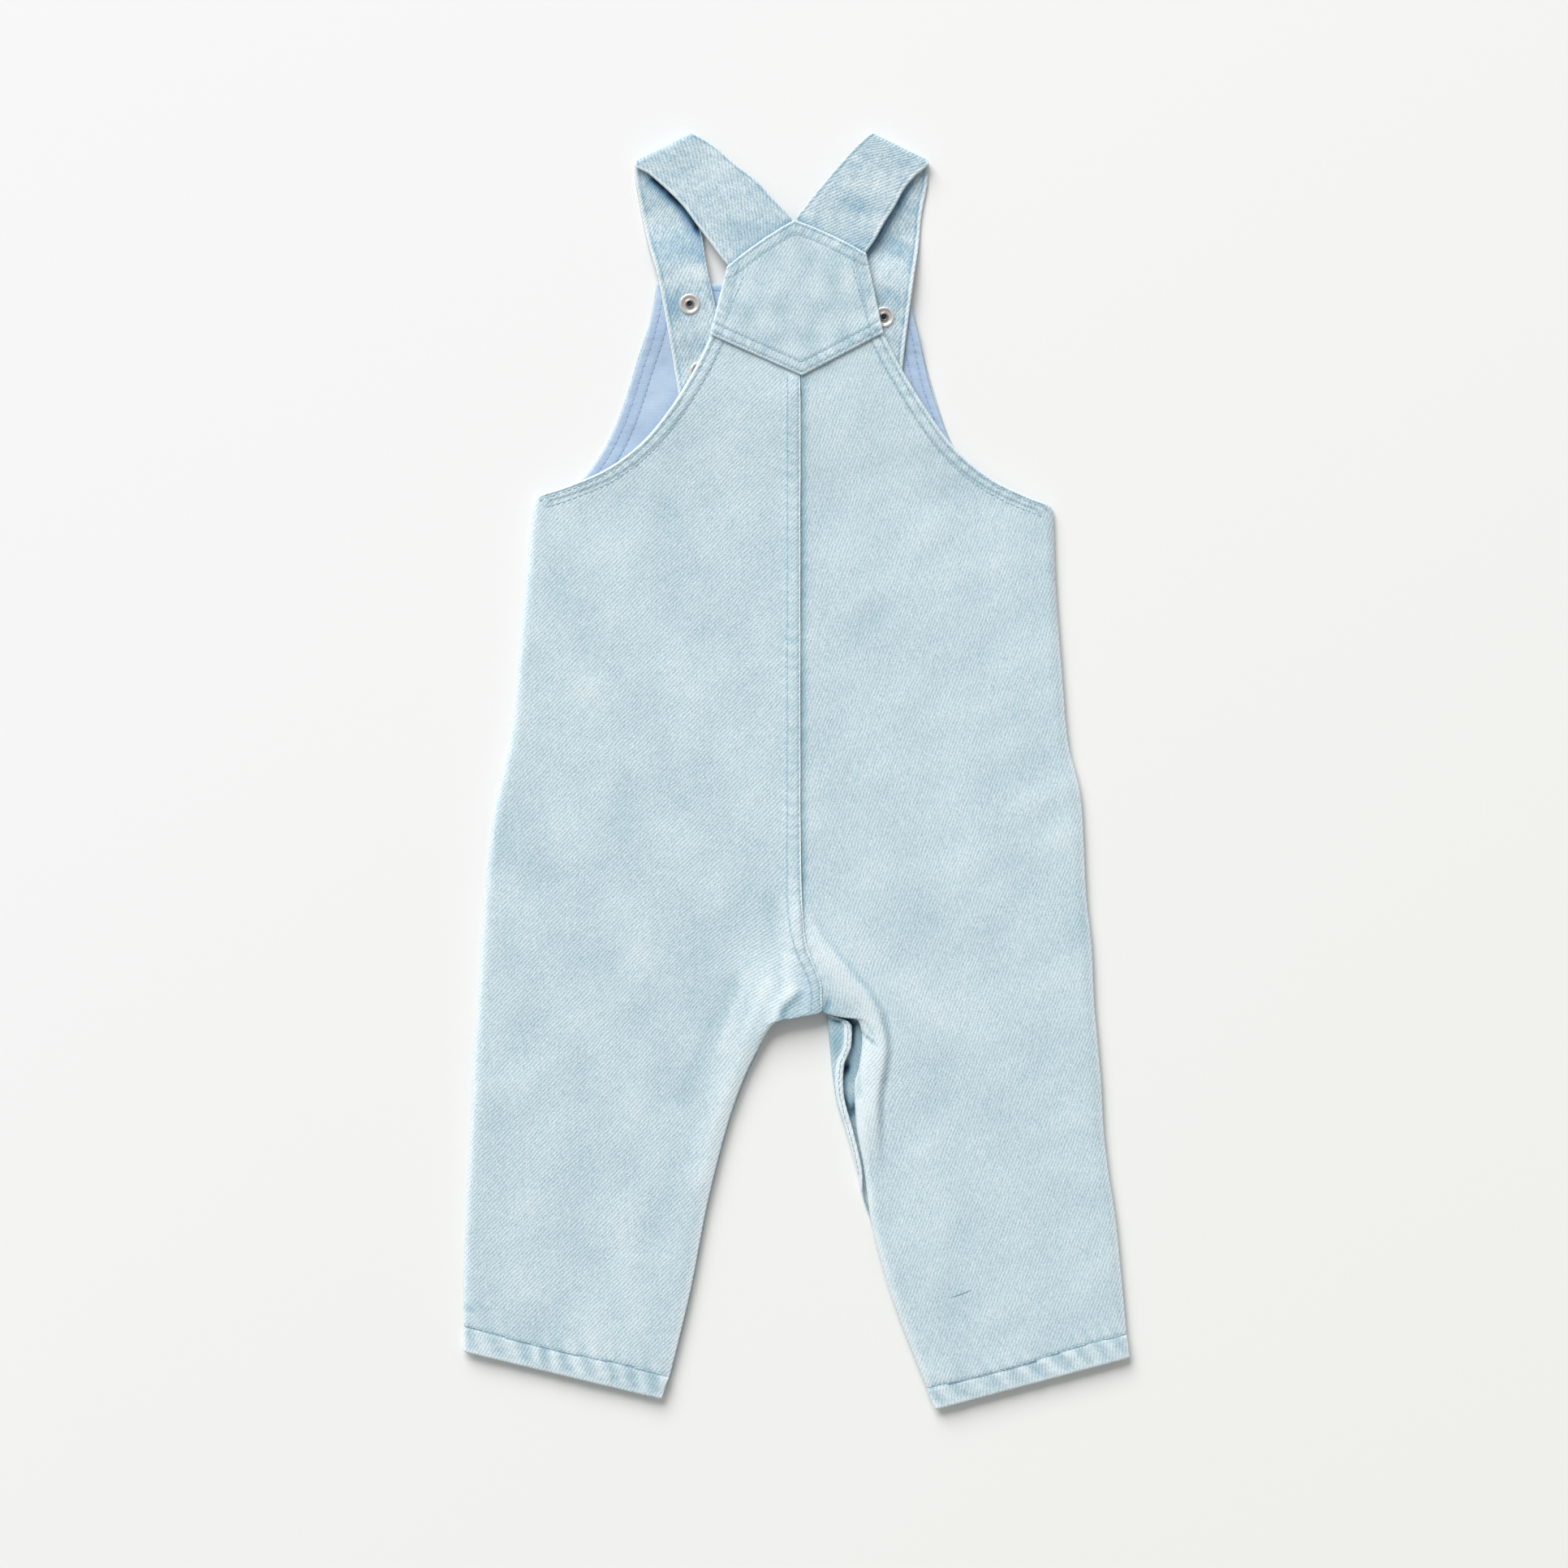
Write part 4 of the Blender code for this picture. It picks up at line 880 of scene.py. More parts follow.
def makeFront(name, table, warpTilt, curls, seed):
    # plan: straight from outer to inner edge, flat on the table; where the row has a
    # curl the cloth turns up round a circle and runs back over itself, with a thicker
    # seam ridge at its free edge
    at = evenRows(table, frontSizes["rowGap"], (0, 2), backSizes["hemGaps"][::2])
    rows = throughRows(table, at)
    outer, inner, curl = rows[:, 0:2], rows[:, 2:4], rows[:, 4:5]
    width = np.linalg.norm(inner - outer, axis=1, keepdims=True)
    run = (inner - outer) / width
    radius = frontSizes["curlRadius"]
    turnEnd = np.minimum(curl / radius, math.pi / 2)
    flatWidth = width - radius * np.sin(turnEnd) * (curl > 0)
    flat = flatWidth * closerEnds(frontSizes["columns"], frontSizes["crowding"])
    reach, rise, ridge, length = flat, np.zeros_like(flat), np.zeros_like(flat), flat
    if curls:
        arc = curl * np.linspace(0, 1, frontSizes["curlColumns"] + 1)[1:]
        angle = np.minimum(arc / radius, math.pi)
        back = arc - radius * angle
        reach = np.concatenate([flat, flatWidth + radius * np.sin(angle) - back], axis=1)
        rise = np.concatenate([rise, radius * (1 - np.cos(angle))], axis=1)
        length = np.concatenate([flat, flatWidth + arc], axis=1)
        ridgeAt = frontSizes["ridgeAt"]
        bead = ease((curl - 3.0) / 3.0) * np.exp(-((curl - arc - ridgeAt) / ridgeAt) ** 4)
        ridge = np.concatenate([ridge, bead], axis=1)
    plan = outer[:, None] + run[:, None] * reach[..., None]
    x, y = plan[..., 0], plan[..., 1]
    # the front's hem ends a little before the back's
    afterRow = at[:, None] - (len(table) - 2)
    y = y + hemShape(afterRow, np.minimum(length, np.abs(flatWidth - length)))
    y = y + frontSizes["shorter"] * ease(afterRow)
    fromCurl = ease(rise / 2.0)
    lying = 1 - fromCurl
    wave = puckers(x, y, inner[::6], 6.0, 4.0, seed) * lying
    hemHeight, hemFade, inBand = frontHem(x, y, (outer[-1], inner[-1]),
                                          at[:, None] > len(table) - backSizes["hemRows"])
    height = (level["front"] + rise + bibLift(y) + frontSizes["seamRidge"] * ridge
              + 0.25 * (1 - quarterRound(length / 1.5)) * lying
              + fromCurl * 0.12 * ripples(length, y, 9.0, seed)
              + 0.05 * np.maximum(0, ripples(x, y, 30.0, seed + 1)) * lying + hemHeight)
    # the turned cloth is darker: partly its unfaded inside, partly painted shade
    fadeAndShade = (0.95 * ridge - 0.3 * fromCurl * (1 - ridge) + 0.3 * wave
            + 0.1 * ripples(x, y, 40, seed) + hemFade)
    if curls:
        # painted shade beside the bead and down the gap
        fadeAndShade -= 0.25 * hump(ridge, 0.2, 0.35) * fromCurl
        fadeAndShade += insideShade(x, y, flatWidth - np.minimum(length, flatWidth), curl, fromCurl)
    grid = np.stack([x, y, height], -1)
    uv = panelUv(outer[:, None, 0] + run[:, None, 0] * length,
                 outer[:, None, 1] + run[:, None, 1] * length, warpTilt, mirrored=True)
    item = makeSheet(name, grid, uv, fadeAndShade, frontSizes["wall"], denimBody, up=False,
                     thick=np.where(inBand > 0.5, 0.5, 0.0))
    if curls:
        # only the turned part, face up, for the stitches on its ridge
        points, normals = [part.reshape(grid.shape)[:, frontSizes["columns"] + 12:]
                           for part in sheets[name]]
        lies = curl[:, 0] > 6.0
        sheets["inseamRidge"] = (points[lies].reshape(-1, 3), -normals[lies].reshape(-1, 3))
        top = np.argmax(ridge[lies], axis=1)
        return item, outer, at, inner, grid[lies][np.arange(len(top)), top, 0:2]
    return item, outer, at, inner


frontLeft, *frontLeftEdges = makeFront("frontLeft", frontLeftRows, 9.0, False, 21)
frontRight, *frontRightEdges, inseamRidge = makeFront("frontRight", frontRightRows, -9.0, True, 25)
print("front halves made")

# bib facing
# left x, y and right x, y from the bib's top down
facingRows = (
    (-63.2, 226.3, 52.4, 219.9), (-66.2, 211, 54.3, 211), (-68.6, 201, 57.2, 200.3),
    (-72, 191, 59.6, 189), (-75.6, 180, 62.4, 177), (-79.4, 168, 66.3, 165.8),
    (-84, 156.6, 70.7, 153.9), (-90, 145.6, 77, 143), (-96.4, 136.6, 86, 134.4),
    (-104, 131, 98, 127.6), (-109, 124, 107, 120), (-109, 116, 107, 113),
)
facingSizes = {"rowGap": 1.1, "columns": 150, "wall": 0.6, "rows": (3.2, 7.6), "band": 8.2,
               "crowding": 0.13}


def makeFacing():
    # plan: straight between both edges; height: level on the front, a thicker turned
    # edge with two grooves, fine puckers between them
    at = evenRows(facingRows, facingSizes["rowGap"], (0, 2))
    rows = throughRows(facingRows, at)
    even = closerEnds(facingSizes["columns"], facingSizes["crowding"])
    left, right = rows[:, 0:2], rows[:, 2:4]
    plan = left[:, None] + (right - left)[:, None] * even[:, None]
    x, y = plan[..., 0], plan[..., 1]
    height = level["facing"] + bibLift(y) + 0.10 * ripples(x, y, 24, 5) + 0.05 * ripples(x, y, 9, 6)
    fadeAndShade = 0.10 * ripples(x, y, 16, 9)
    uneven = 0.6 + 0.4 * ripples(x, y, 11, 12)
    for line in (left, right):
        away = awayFrom(x, y, line)
        wave = puckers(x, y, line, 4.6, 9.0, 2.0) * uneven
        band = ease((facingSizes["band"] - away) / 1.2)
        height += band * (0.18 + 0.12 * wave) - 0.5 * (1 - quarterRound(away / 0.8))
        fadeAndShade += band * (0.2 * wave - 0.1) + 0.2 * hump(away, 1.0)
        for distance in facingSizes["rows"]:
            height -= 0.1 * hump(away, 0.6, distance)
            fadeAndShade -= 0.15 * hump(away, 0.8, distance)
    fadeAndShade -= 0.4 * hump(awayFrom(x, y, (left[0], right[0])), 0.8, 2.5)
    item = makeSheet("bibFacing", np.stack([x, y, height], -1), np.stack([x, y], -1) * mm, fadeAndShade,
                     facingSizes["wall"], chambray)
    return item, left, right


facing, facingLeft, facingRight = makeFacing()
print("facing made")

# back yoke
yokeCorners = {"leftLow": (-39.5, 201.3), "tip": (3.0, 182.3), "rightLow": (40.6, 202.0),
               "leftTop": (-31.6, 232.6), "apex": (-0.4, 254.1), "rightTop": (32.7, 238.6)}
yokeSizes = {"along": 61, "across": 121, "bow": 1.0, "wall": 0.9, "rows": (1.5, 5.6),
             "sideRow": 5.6, "rim": 1.1, "rimDrop": 0.9}
yokeLow = [yokeCorners[k] for k in ("leftLow", "tip", "rightLow")]
yokeTop = [yokeCorners[k] for k in ("leftTop", "apex", "rightTop")]


def cosineSteps(count):
    # from 0 to 1, much closer at both ends: half a cosine wave, as a column
    return 0.5 - 0.5 * np.cos(math.pi * np.linspace(0, 1, count))[:, None]


def yokeBorders():
    # lower border straight, upper border bowed out by a parabola; both bend at their middle
    lows, tops = np.array(yokeLow), np.array(yokeTop)
    half = cosineSteps(yokeSizes["along"])
    bow = 4 * yokeSizes["bow"] * half * (1 - half)
    lower, upper = [], []
    for side in (0, 1):
        run = tops[side + 1] - tops[side]
        lower.append((lows[side] + (lows[side + 1] - lows[side]) * half)[side:])
        upper.append((tops[side] + run * half + unit(leftOf(run)) * bow)[side:])
    return np.concatenate(lower), np.concatenate(upper)


def makeYoke():
    # plan: straight from the lower border to the upper one; height: level, rounded
    # down at the rim, grooves and puckers along the stitched rows
    lower, upper = yokeBorders()
    plan = lower[:, None] + (upper - lower)[:, None] * cosineSteps(yokeSizes["across"])
    x, y = plan[..., 0], plan[..., 1]
    height = (level["yoke"] + 0.16 * ripples(x, y, 34, 31) + 0.07 * ripples(x, y, 12, 32))
    fadeAndShade = 0.12 * ripples(x, y, 14, 33) - 0.06
    # line, its stitched rows, step and seed of its puckers, their height, rim's width, ramp
    sideRow = (yokeSizes["sideRow"],)
    borders = ((yokeLow, yokeSizes["rows"], 6.4, 3.0, 0.15, 0.9),
               (upper, yokeSizes["rows"], 6.4, 4.0, 0.15, 0.9),
               ((yokeLow[0], yokeTop[0]), sideRow, 5.6, 5.0, 0.13, 1.3),
               ((yokeLow[2], yokeTop[2]), sideRow, 5.6, 6.0, 0.13, 1.3))
    nearest = np.full(x.shape, 99.0)
    for line, stitched, step, seed, rise, rim in borders:
        away = awayFrom(x, y, line)
        nearest = np.minimum(nearest, away)
        wave = puckers(x, y, line, step, 5.0, seed)
        for distance in stitched:
            height -= 0.22 * hump(away, 0.6, distance)
            fadeAndShade -= 0.32 * hump(away, 0.7, distance)
        height += rise * wave * (1 if stitched is sideRow else ease(away / 2))
        fadeAndShade += 0.3 * wave * ease(away / 2.5) + 0.5 * hump(away, rim)
    height -= yokeSizes["rimDrop"] * (1 - quarterRound(nearest / yokeSizes["rim"]))
    return makeSheet("backYoke", np.stack([x, y, height], -1), panelUv(x, y, -2.0), fadeAndShade,
                     yokeSizes["wall"], denimBody)


yoke = makeYoke()
print("yoke made")

# straps
strapRows = {
    "left": {
        "upper": ((-25.6, 227.1, -1, 249.5), (-31.1, 232.9, -1.9, 254.6),
                  (-39.4, 243.8, -10.5, 264.4), (-45.8, 252.5, -18.8, 273.4),
                  (-52, 260.9, -27.5, 280), (-61.2, 270.1, -34.8, 286.5),
                  (-68, 276, -40.8, 291)),
        "fold": (-75.2, 281.1, -46.6, 295.4),
        "lower": ((-73.8, 270.5, -44.8, 281.5), (-70.9, 255, -44.3, 260.6),
                  (-68.3, 243.8, -42.8, 246), (-63.8, 228.4, -40.1, 229.5),
                  (-60.8, 213, -36.6, 214.1), (-57, 190.9, -33.2, 192),
                  (-54.6, 176, -31, 176.8), (-53.6, 169.9, -30.2, 170.6)),
        "bibTop": 226.9,
        # how deep, and how many mm wide, the shadow under the upper layer's edge is
        "shade": (1.9, 3),
        # mm along the strap from its yoke end, half width, tone; streaks of wash, the dark one next to
        # the yoke also painted shade
        "bands": ((12, 6, -0.55), (24, 4, 0.2), (33, 5, -0.25), (48, 7, 0.12), (60, 5, -0.2),
                  (78, 6, -0.3), (92, 4, -0.55), (103, 5, 0.25), (112, 4, -0.25), (122, 6, -0.55),
                  (133, 4, 0.3), (146, 5, -0.7), (158, 5, 0.2), (166, 4, -0.5), (176, 5, 0.2)),
    },
    "right": {
        "upper": ((27.8, 232.9, 0.6, 249.5), (32.6, 239.3, 0.5, 254.6), (36.8, 245.2, 5, 261.4),
                  (40.8, 252.5, 11.3, 269.3), (45.8, 260.5, 19, 278.5),
                  (50.7, 269.3, 26.6, 287), (55.8, 275.3, 30.6, 291)),
        "fold": (62.7, 281.6, 34.4, 295.4),
        "lower": ((61.2, 270.5, 32.8, 281.5), (58.5, 256.5, 32.6, 261.8),
                  (57.3, 243.8, 33, 246), (55.1, 228.8, 31.1, 230.3),
                  (52.9, 213, 28.9, 214.9), (49.9, 188.3, 26.3, 190.1),
                  (48.4, 172.5, 24.8, 174.4), (47.8, 165.8, 24.2, 167.6)),
        "bibTop": 220.5,
        "shade": (1, 2.2),
        "bands": ((10, 5, -0.3), (18, 4, 0.2), (27, 5, -0.55), (38, 5, 0.2), (50, 5, -0.35),
                  (62, 6, 0.15), (82, 6, -0.4), (96, 5, -0.15), (108, 5, -0.45), (122, 6, 0.2),
                  (134, 5, -0.35), (148, 5, 0.15), (162, 6, -0.5), (176, 5, 0.2)),
    },
}
# x, y, and whether the bib's half is fastened to it
studs = {"LeftUpper": (-48.8, 215.6, True), "LeftLower": (-44.1, 184.4, False),
         "RightUpper": (40.9, 209.6, True), "RightLower": (37.2, 178.3, False)}
strapSizes = {"rowGap": 1.2, "across": 42, "edgeRound": 0.8, "rim": 1.9, "cornerRound": 1.3,
              "foldDepth": 1.2, "lift": 0.15, "foldRows": 15, "smoothRows": 5, "crowding": 1.35}


def strapPath(sizes):
    # two edges of plan points with the strap's height at both: from the yoke up to the fold, half an
    # ellipse round it, and down to the bib; returns them and the upper part's rows
    halfWall, radius = level["strapWall"] / 2, level["foldRadius"]
    upper, lower = [throughRows(sizes[part], evenRows(sizes[part], strapSizes["rowGap"], (0, 2)))
                    for part in ("upper", "lower")]
    foldLevel = halfWall + 2 * radius
    yokeLevel = level["neck"] - halfWall
    run = ease(np.linspace(0, 1, len(upper)))[:, None]
    upperHeight = (yokeLevel + (foldLevel - yokeLevel) * run).repeat(2, 1)
    start, end = np.array(sizes["fold"]).reshape(2, 2)
    line = unit(end - start)
    outward = leftOf(line) * (1 if line[0] > 0 else -1)
    angle = np.radians(np.linspace(90, -90, strapSizes["foldRows"]))[:, None]
    # the fold is flatter than a half circle, so that its top stays level almost to its end
    depth = strapSizes["foldDepth"]
    shift = (depth * np.cos(angle) - depth - halfWall) * outward
    inset = strapSizes["cornerRound"] * np.cos(angle) * line
    turned = np.concatenate([start + shift + inset, end + shift - inset], 1)
    low = halfWall + strapSizes["lift"]
    turnedHeight = (low + radius * (1 + np.sin(angle))).repeat(2, 1)
    lowY = lower[:, [1, 3]]
    onBib = level["facing"] + level["press"] + bibLift(lowY)
    lowerHeight = low + onBib * (1 - ease((lowY - sizes["bibTop"] - 2) / 28))
    plan = np.concatenate([upper, turned, lower])
    height = np.concatenate([upperHeight, turnedHeight, lowerHeight])
    first, second = [np.stack([plan[:, c], plan[:, c + 1], height[:, c // 2]], -1) for c in (0, 2)]
    return first, second, upper


def smoothed(vectors):
    # mean of each vector and its neighbours along the path
    rows = strapSizes["smoothRows"]
    padded = np.pad(vectors, ((rows // 2, rows // 2), (0, 0)), "edge")
    return np.stack([np.convolve(padded[:, c], np.ones(rows) / rows, "valid") for c in range(3)], 1)


def strapTone(sizes, side, seed, grid, length, where, fromEdge, isUpper, upper):
    # streaks across the strap, worn rims, and shade near the fold, layers and studs
    x, y = grid[..., 0], grid[..., 1]
    along = length[:, None] + 0.25 * where
    fadeAndShade = (0.07 * ripples(along * 1.5, where * 0.7, 17, seed + 2)
            + 0.09 * ripples(along, where, 5, seed + 3) - 0.02)
    strength = np.where(isUpper, 0.42, 0.8)
    for centre, half, tone in sizes["bands"]:
        bend = 3.0 * np.sin(where / 9.0 + centre)
        patch = 0.75 + 0.5 * np.sin(where / 5.0 + 1.7 * centre)
        fadeAndShade += strength * tone * patch * hump(along + bend, half, centre)
    # worn rims: widest along the outer edge of the lower layer, narrow along the inner
    rim = np.where(where < 0, np.where(isUpper, 1.25, 1.7), np.where(isUpper, 0.35, 0.6))
    rimShare = np.exp(-(fromEdge / rim) ** 4)
    seam = np.where(isUpper, 0.25, 0.5) * hump(fromEdge, 0.45, rim + 0.7)
    fadeAndShade = fadeAndShade * (1 - rimShare) + 0.55 * rimShare - seam
    wave = np.sin(along / 2.3 + 1.5 * np.sin(along / 7.0))
    fadeAndShade += 0.15 * wave * hump(fromEdge, 3) * ease(fromEdge / 1.5)
    # painted shade across the fold, which faces the light
    fadeAndShade -= 0.3 * hump(length[:, None], 2.6, length[isUpper.sum()])
    # painted shadow: the lower layer is darkened close under the upper one's edge, and the upper one
    # along the yoke's edge
    shadowDepth, reach = sizes["shade"]
    under = awayFrom(x, y, upper[::4, 0:2])
    fadeAndShade -= ~isUpper * shadowDepth * hump(under, reach) * ease(fromEdge / 2.6)
    fadeAndShade -= isUpper * 0.6 * hump(awayFrom(x, y, (yokeCorners["apex"], yokeCorners[side + "Top"])), 2.0)
    for place in ("Upper", "Lower"):
        # painted shade: the cloth down the hole of each ring is near black
        studX, studY = studs[side.capitalize() + place][:2]
        fadeAndShade -= ~isUpper * 2.4 * np.exp(-(np.hypot(x - studX, y - studY) / 1.4) ** 4)
    return fadeAndShade


def strapEnd(ring):
    # the strap's open end: quads between its two faces, with a triangle at both edges
    half = len(ring) // 2
    top, low = ring[:half + 1], np.roll(ring[::-1], 1)[:half + 1]
    return np.stack([top[:-1], top[1:], low[1:], low[:-1]], 1)


def makeStrap(side, seed):
    # profile: a flat loop, both faces with rounded edges, set square to the path at each
    # row; place runs across it from -1 to 1 on the top face, then back below
    sizes = strapRows[side]
    first, second, upper = strapPath(sizes)
    middle, across = (first + second) / 2, second - first
    width = np.linalg.norm(across, axis=1, keepdims=True)
    across = across / width
    # neighbouring rows meet at the fold's sharp turn, so the direction is smoothed
    normal = unit(np.cross(across, smoothed(np.gradient(middle, axis=0))))
    hand = 1.0 if normal[0, 2] > 0 else -1.0
    normal = normal * hand
    length = lengthAlong(middle)
    even = np.linspace(-1, 1, strapSizes["across"])
    spaced = np.sign(even) * (1 - (1 - np.abs(even)) ** strapSizes["crowding"])
    place = np.concatenate([spaced, spaced[-2:0:-1]])
    face = np.concatenate([np.ones(len(spaced)), -np.ones(len(spaced) - 2)])
    fromEdge = (1 - np.abs(place)) * width / 2
    thick = (level["strapWall"] / 2 * quarterRound(fromEdge / strapSizes["edgeRound"])
             * (fromEdge >= 1e-6))
    groove, bead = 0.16 * hump(fromEdge, 0.5, strapSizes["rim"]), 0.10 * hump(fromEdge, 0.6, 0.9)
    where = place * width / 2
    along = length[:, None] + 0.25 * where
    relieved = 0.10 * ripples(along, where, 22, seed) + 0.05 * ripples(along, where, 8, seed + 1)
    thick = thick + (bead - groove) * (thick > 0.3) - 0.06
    offset = face * np.maximum(thick, 0) + relieved * 0.6
    grid = (middle[:, None] + across[:, None] * where[..., None]
            + normal[:, None] * offset[..., None])
    around = np.concatenate([spaced, 2 - spaced[-2:0:-1]]) * width / 2
    uv = np.stack([around * hand, length[:, None] + 0 * around], -1) * mm
    rows, loop = grid.shape[:2]
    isUpper = np.arange(rows)[:, None] < len(upper) + strapSizes["foldRows"] // 2
    fadeAndShade = strapTone(sizes, side, seed, grid, length, where, fromEdge, isUpper, upper)
    index = np.arange(rows * loop).reshape(rows, loop)
    ends = np.concatenate([strapEnd(index[0])[:, [0, 3, 2, 1]], strapEnd(index[-1])])
    faces = tubeFaces(rows, loop).tolist() + [list(dict.fromkeys(end)) for end in ends.tolist()]
    item = newMesh("strap" + side.capitalize(), grid.reshape(-1, 3), faces, denimStrap,
                   fadeAndShade.reshape(-1), uv.reshape(-1, 2))
    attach(item, "root")
    return item


strapLeft, strapRight = makeStrap("left", 41), makeStrap("right", 47)
print("straps made")

# press studs
ringProfile = ((1.05, 0.06), (1.08, 0.50), (1.18, 0.78), (1.38, 0.92), (1.62, 0.92), (1.84, 0.80),
               (1.94, 0.55), (2.02, 0.28), (2.2, 0.18), (2.6, 0.16), (3.1, 0.18), (3.34, 0.26),
               (3.5, 0.46), (3.62, 0.70), (3.80, 0.86), (4.02, 0.92), (4.25, 0.88), (4.5, 0.74),
               (4.7, 0.56), (4.83, 0.36), (4.88, 0.18), (4.88, 0), (3, 0), (1.05, 0))
capProfile = ((0, 0.8), (3.6, 0.8), (4.7, 0.8), (4.88, 0.62), (4.88, 0.4), (4.75, 0.22),
              (4.4, 0.10), (3.6, 0.03), (2, 0), (0, 0))
postProfile = ((0, 0.42), (0.28, 0.40), (0.44, 0.30), (0.5, 0.12), (0.5, 0.02), (0, 0.02))
# painted shade: darkest down the barrel in the middle, none on the raised rim: mm from the middle, tone
studShade = ((1.0, -1.0), (1.35, -0.75), (1.9, -0.3), (2.3, 0.5), (3.2, 0.6), (3.6, 1.0))


def turnedMesh(name, profile, x, y, z, steps=56):
    # radius and height pairs carried round the vertical; the profile closes on itself
    # round a hole, or ends in two poles
    radius, height = np.array(profile).T
    pole = radius[0] == 0.0
    turn = np.arange(steps) * 2 * math.pi / steps
    body = slice(1, -1) if pole else slice(None)
    ring = np.stack([radius[body, None] * np.cos(turn), radius[body, None] * np.sin(turn),
                     height[body, None] + 0 * turn], -1)
    count = ring.shape[0]
    index = np.arange(count * steps).reshape(count, steps)
    after = np.roll(index, -1, axis=1)
    pairs = [(k, k + 1) for k in range(count - 1)] + ([] if pole else [(count - 1, 0)])
    faces = np.concatenate([np.stack([index[a], index[b], after[b], after[a]], 1)
                            for a, b in pairs]).tolist()
    points = ring.reshape(-1, 3)
    if pole:
        points = np.concatenate([points, [[0, 0, height[0]], [0, 0, height[-1]]]])
        faces += [[count * steps, int(a), int(b)] for a, b in zip(index[0], after[0])]
        faces += [[count * steps + 1, int(b), int(a)] for a, b in zip(index[-1], after[-1])]
    tone = np.interp(np.hypot(points[:, 0], points[:, 1]), *np.array(studShade).T)
    item = newMesh(name, points + np.array([x, y, z]), faces, nickel, tone)
    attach(item, "root")
    return item


for place, (x, y, fastened) in studs.items():
    onStrap = (level["facing"] + level["press"] + (level["bibLift"] if fastened else 0)
               + level["strapWall"] + strapSizes["lift"])
    ring = turnedMesh("strapSnap" + place, ringProfile, x, y, onStrap)
    turnedMesh("strapSnapPost" + place, postProfile, x, y, onStrap, 24)
    node = "strap_snap_" + place.replace("Left", "left_").replace("Right", "right_").lower()
    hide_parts(node)
for side in ("Left", "Right"):
    x, y = studs[side + "Upper"][:2]
    cap = turnedMesh("bibSnapCap" + side, capProfile, x, y, 0.0)
    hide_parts("bib_snap_cap_" + side.lower())
print("press studs made")

# sewing
nearRow, farRow = backSizes["armholeRows"]
makeStitches("backLeftStitches",
             [offsetLine(leftArm, nearRow), offsetLine(leftArm, farRow), seamLines["backUpperLeft"],
              seamLines["backUpperRight"], seamLines["hemLeft"]], ["backLeft"], thread)
makeStitches("backRightStitches",
             [offsetLine(rightArm, -nearRow), offsetLine(rightArm, -farRow), seamLines["hemRight"]],
             ["backRight"], thread, seed=2)
# a thread's end left at the left hem, and one on the right leg
makeStitches("hemThreadEnd", [[(-67.4, -288.0), (-64.2, -288.9)]], ["backLeft"],
             darkThread, 5, dict(threadEnd, length=3.4))
makeStitches("legThreadEnd", [[(69.6, -243.2), (82.2, -239.6)]], ["backRight"],
             darkThread, 6, threadEnd)
makeStitches("inseamStitches", [inseamRidge], ["inseamRidge"], thread, seed=7)


frontRowsAt = {"middle": (1.6, 5.2), "hem": 11.3}


def frontLines(outer, at, inner, way):
    # the front's own rows: armhole, centre front and hem
    arm = outer[(at > 1.0) & (at < 7.8)]
    middle = inner[at < 15.0]
    hem = [outer[-1] + (inner[-1] - outer[-1]) * 0.01, inner[-1]]
    return ([offsetLine(arm, way * d) for d in backSizes["armholeRows"]]
            + [offsetLine(middle, -way * d) for d in frontRowsAt["middle"]]
            + [offsetLine(hem, way * frontRowsAt["hem"])])


makeStitches("frontLeftStitches", frontLines(*frontLeftEdges, 1), ["frontLeft"], thread,
             seed=8)
makeStitches("frontRightStitches", frontLines(*frontRightEdges, -1), ["frontRight"], thread,
             seed=9)


def insetCorner(points, distance):
    # a three-cornered line moved inwards, with its corner on the bisector
    a, b, c = [np.array(p, float) for p in points]
    n1, n2 = leftOf(unit(b - a)), leftOf(unit(c - b))
    bisector = (n1 + n2) / (1 + n1 @ n2)
    return [a + distance * n1, b + distance * bisector, c + distance * n2]


def trimmed(points, cut, bow=0.0):
    # shortened by cut at both ends; each half bows out by a parabola of height bow
    a, b, c = points
    a = a + unit(b - a) * cut
    c = c + unit(b - c) * cut
    half = np.linspace(0, 1, 9)[:, None]
    parts = []
    for p, q in ((a, b), (b, c)):
        parts.append(p + (q - p) * half + leftOf(unit(q - p)) * 4 * bow * half * (1 - half))
    return np.concatenate([parts[0], parts[1][1:]])


lowRows = [insetCorner(yokeLow, d) for d in yokeSizes["rows"]]
topRows = [insetCorner(yokeTop, -d) for d in yokeSizes["rows"]]
makeStitches("yokeStitches",
             [trimmed(lowRows[0], 1.2), trimmed(lowRows[1], 3.5),
              trimmed(topRows[0], 1.2, yokeSizes["bow"]), trimmed(topRows[1], 3.5, 0.8),
              [lowRows[1][0] + (4.9, 1.2), topRows[1][0] + (4.6, 0.6)],
              [lowRows[1][2] + (-4.9, 1.2), topRows[1][2] + (-4.6, 0.6)]],
             ["backYoke"], thread, seed=3)
# the facing's rows end above its hidden lower corners
facingLines = [offsetLine(edge[:-12], way * d) for edge, way in ((facingLeft, 1), (facingRight, -1))
               for d in facingSizes["rows"]]
makeStitches("facingStitches", facingLines + [[(-60, 223.5), (50, 217.4)]], ["bibFacing"],
             facingThread, seed=4)
print("sewing made")

# what replaces what
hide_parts("back_left")
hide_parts("back_right")
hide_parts("front_left")
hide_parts("front_right")
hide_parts("bib_facing")
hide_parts("back_yoke")
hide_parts("strap_left")
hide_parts("strap_right")

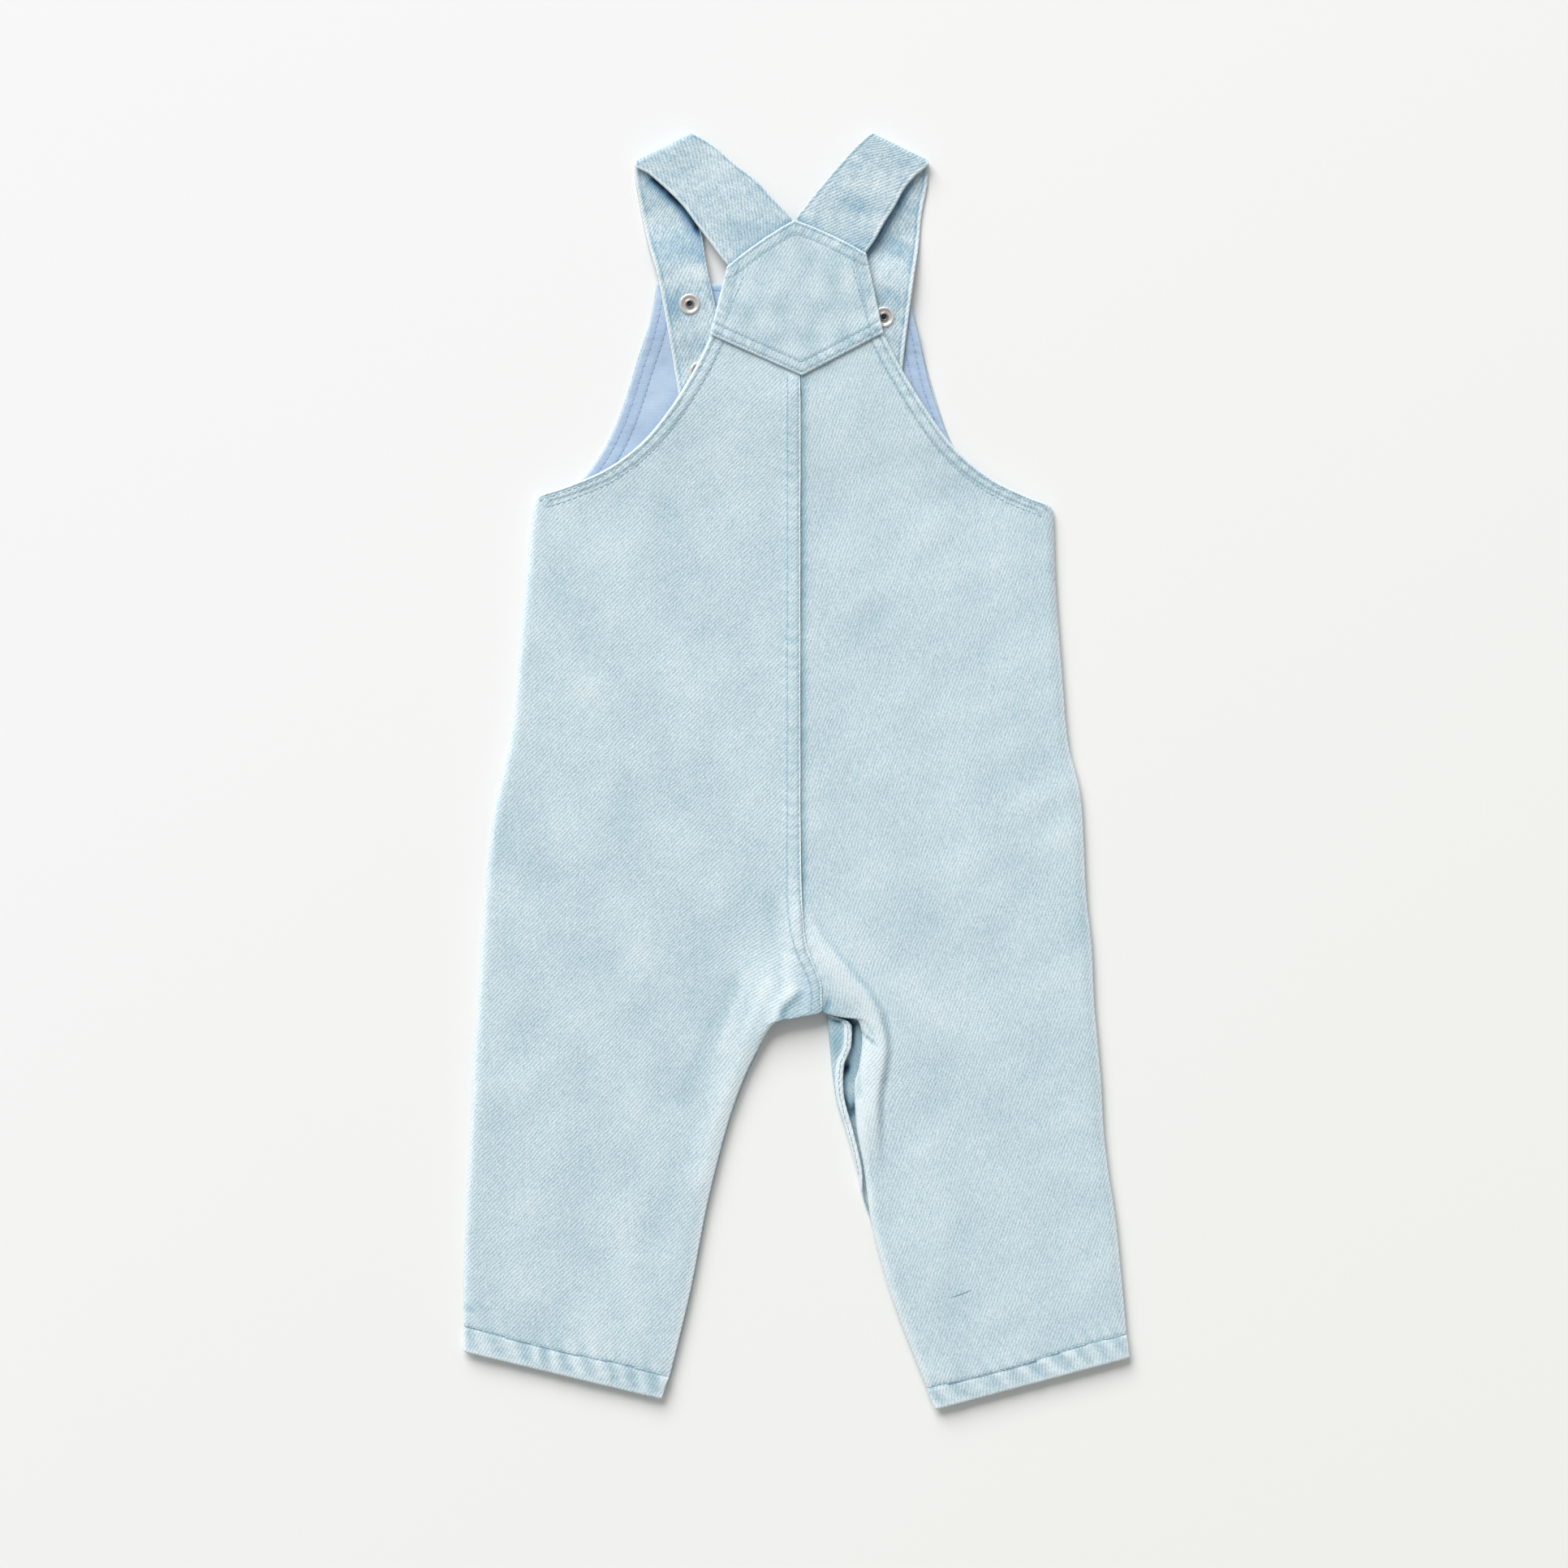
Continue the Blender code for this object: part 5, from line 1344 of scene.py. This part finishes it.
# table, light, camera
studio = {"view": (-5.25, -6.0), "frameWidth": 724.5, "cameraHeight": 2400.0,
          "table": (0.93, 0.93, 0.93), "warmShadedTable": (0.915, 0.922, 0.885), "sky": 0.37,
          "tableHalf": 3.0, "sharpAt": 3.0,
          "lamp": 3870.0, "lampSize": 12.6, "lampAt": (-6.1, 13.3, 10.6)}


def makeTable():
    # a wide square, neutral at the top left; towards the lower right a little darker and warmer, as
    # painted shade
    mesh = bpy.data.meshes.new("table")
    half = studio["tableHalf"]
    mesh.from_pydata([(-half, -half, 0), (half, -half, 0), (half, half, 0), (-half, half, 0)],
                     [], [(0, 1, 2, 3)])
    material, tree, shader = newMaterial("pale table")
    at = addNode(tree, "ShaderNodeSeparateXYZ", {0: objectPlace(tree)}).outputs
    slant = calc(tree, "SUBTRACT", calc(tree, "MULTIPLY", at[0], 1.3),
                 calc(tree, "MULTIPLY", at[1], 0.9))
    share = addNode(tree, "ShaderNodeClamp", {0: calc(tree, "ADD", slant, 0.45)}).outputs[0]
    feed(tree, shader, {"Base Color": mixed(tree, share, (*studio["table"], 1),
                                            (*studio["warmShadedTable"], 1)),
                        "Roughness": 0.9, "Specular IOR Level": 0.1})
    mesh.materials.append(material)
    newObject("table", mesh)


def makeLight():
    # an even sky and one wide soft lamp that faces the garment
    world = bpy.data.worlds.new("studio")
    world.use_nodes = True
    feed(world.node_tree, world.node_tree.nodes["Background"].inputs,
         {0: (1.0, 1.0, 1.0, 1.0), 1: studio["sky"]})
    bpy.context.scene.world = world
    light = bpy.data.lights.new("window", "AREA")
    light.energy, light.size = studio["lamp"], studio["lampSize"]
    lamp = newObject("window", light)
    lamp.location = studio["lampAt"]
    lamp.rotation_euler = Vector(studio["lampAt"]).to_track_quat("Z", "Y").to_euler()


def makeCamera():
    # straight above: the lens is the sensor's width times distance over the frame's width
    sensor, eyeHeight = 36.0, studio["cameraHeight"]
    lens = bpy.data.cameras.new("camera")
    lens.sensor_width, lens.clip_end = sensor, 50.0
    lens.lens = sensor * (eyeHeight - studio["sharpAt"]) / studio["frameWidth"]
    camera = newObject("camera", lens)
    camera.location = Vector((*studio["view"], eyeHeight)) * mm
    bpy.context.scene.camera = camera


makeTable()
makeLight()
makeCamera()
bpy.context.scene.view_settings.view_transform = "Standard"
print("studio made")
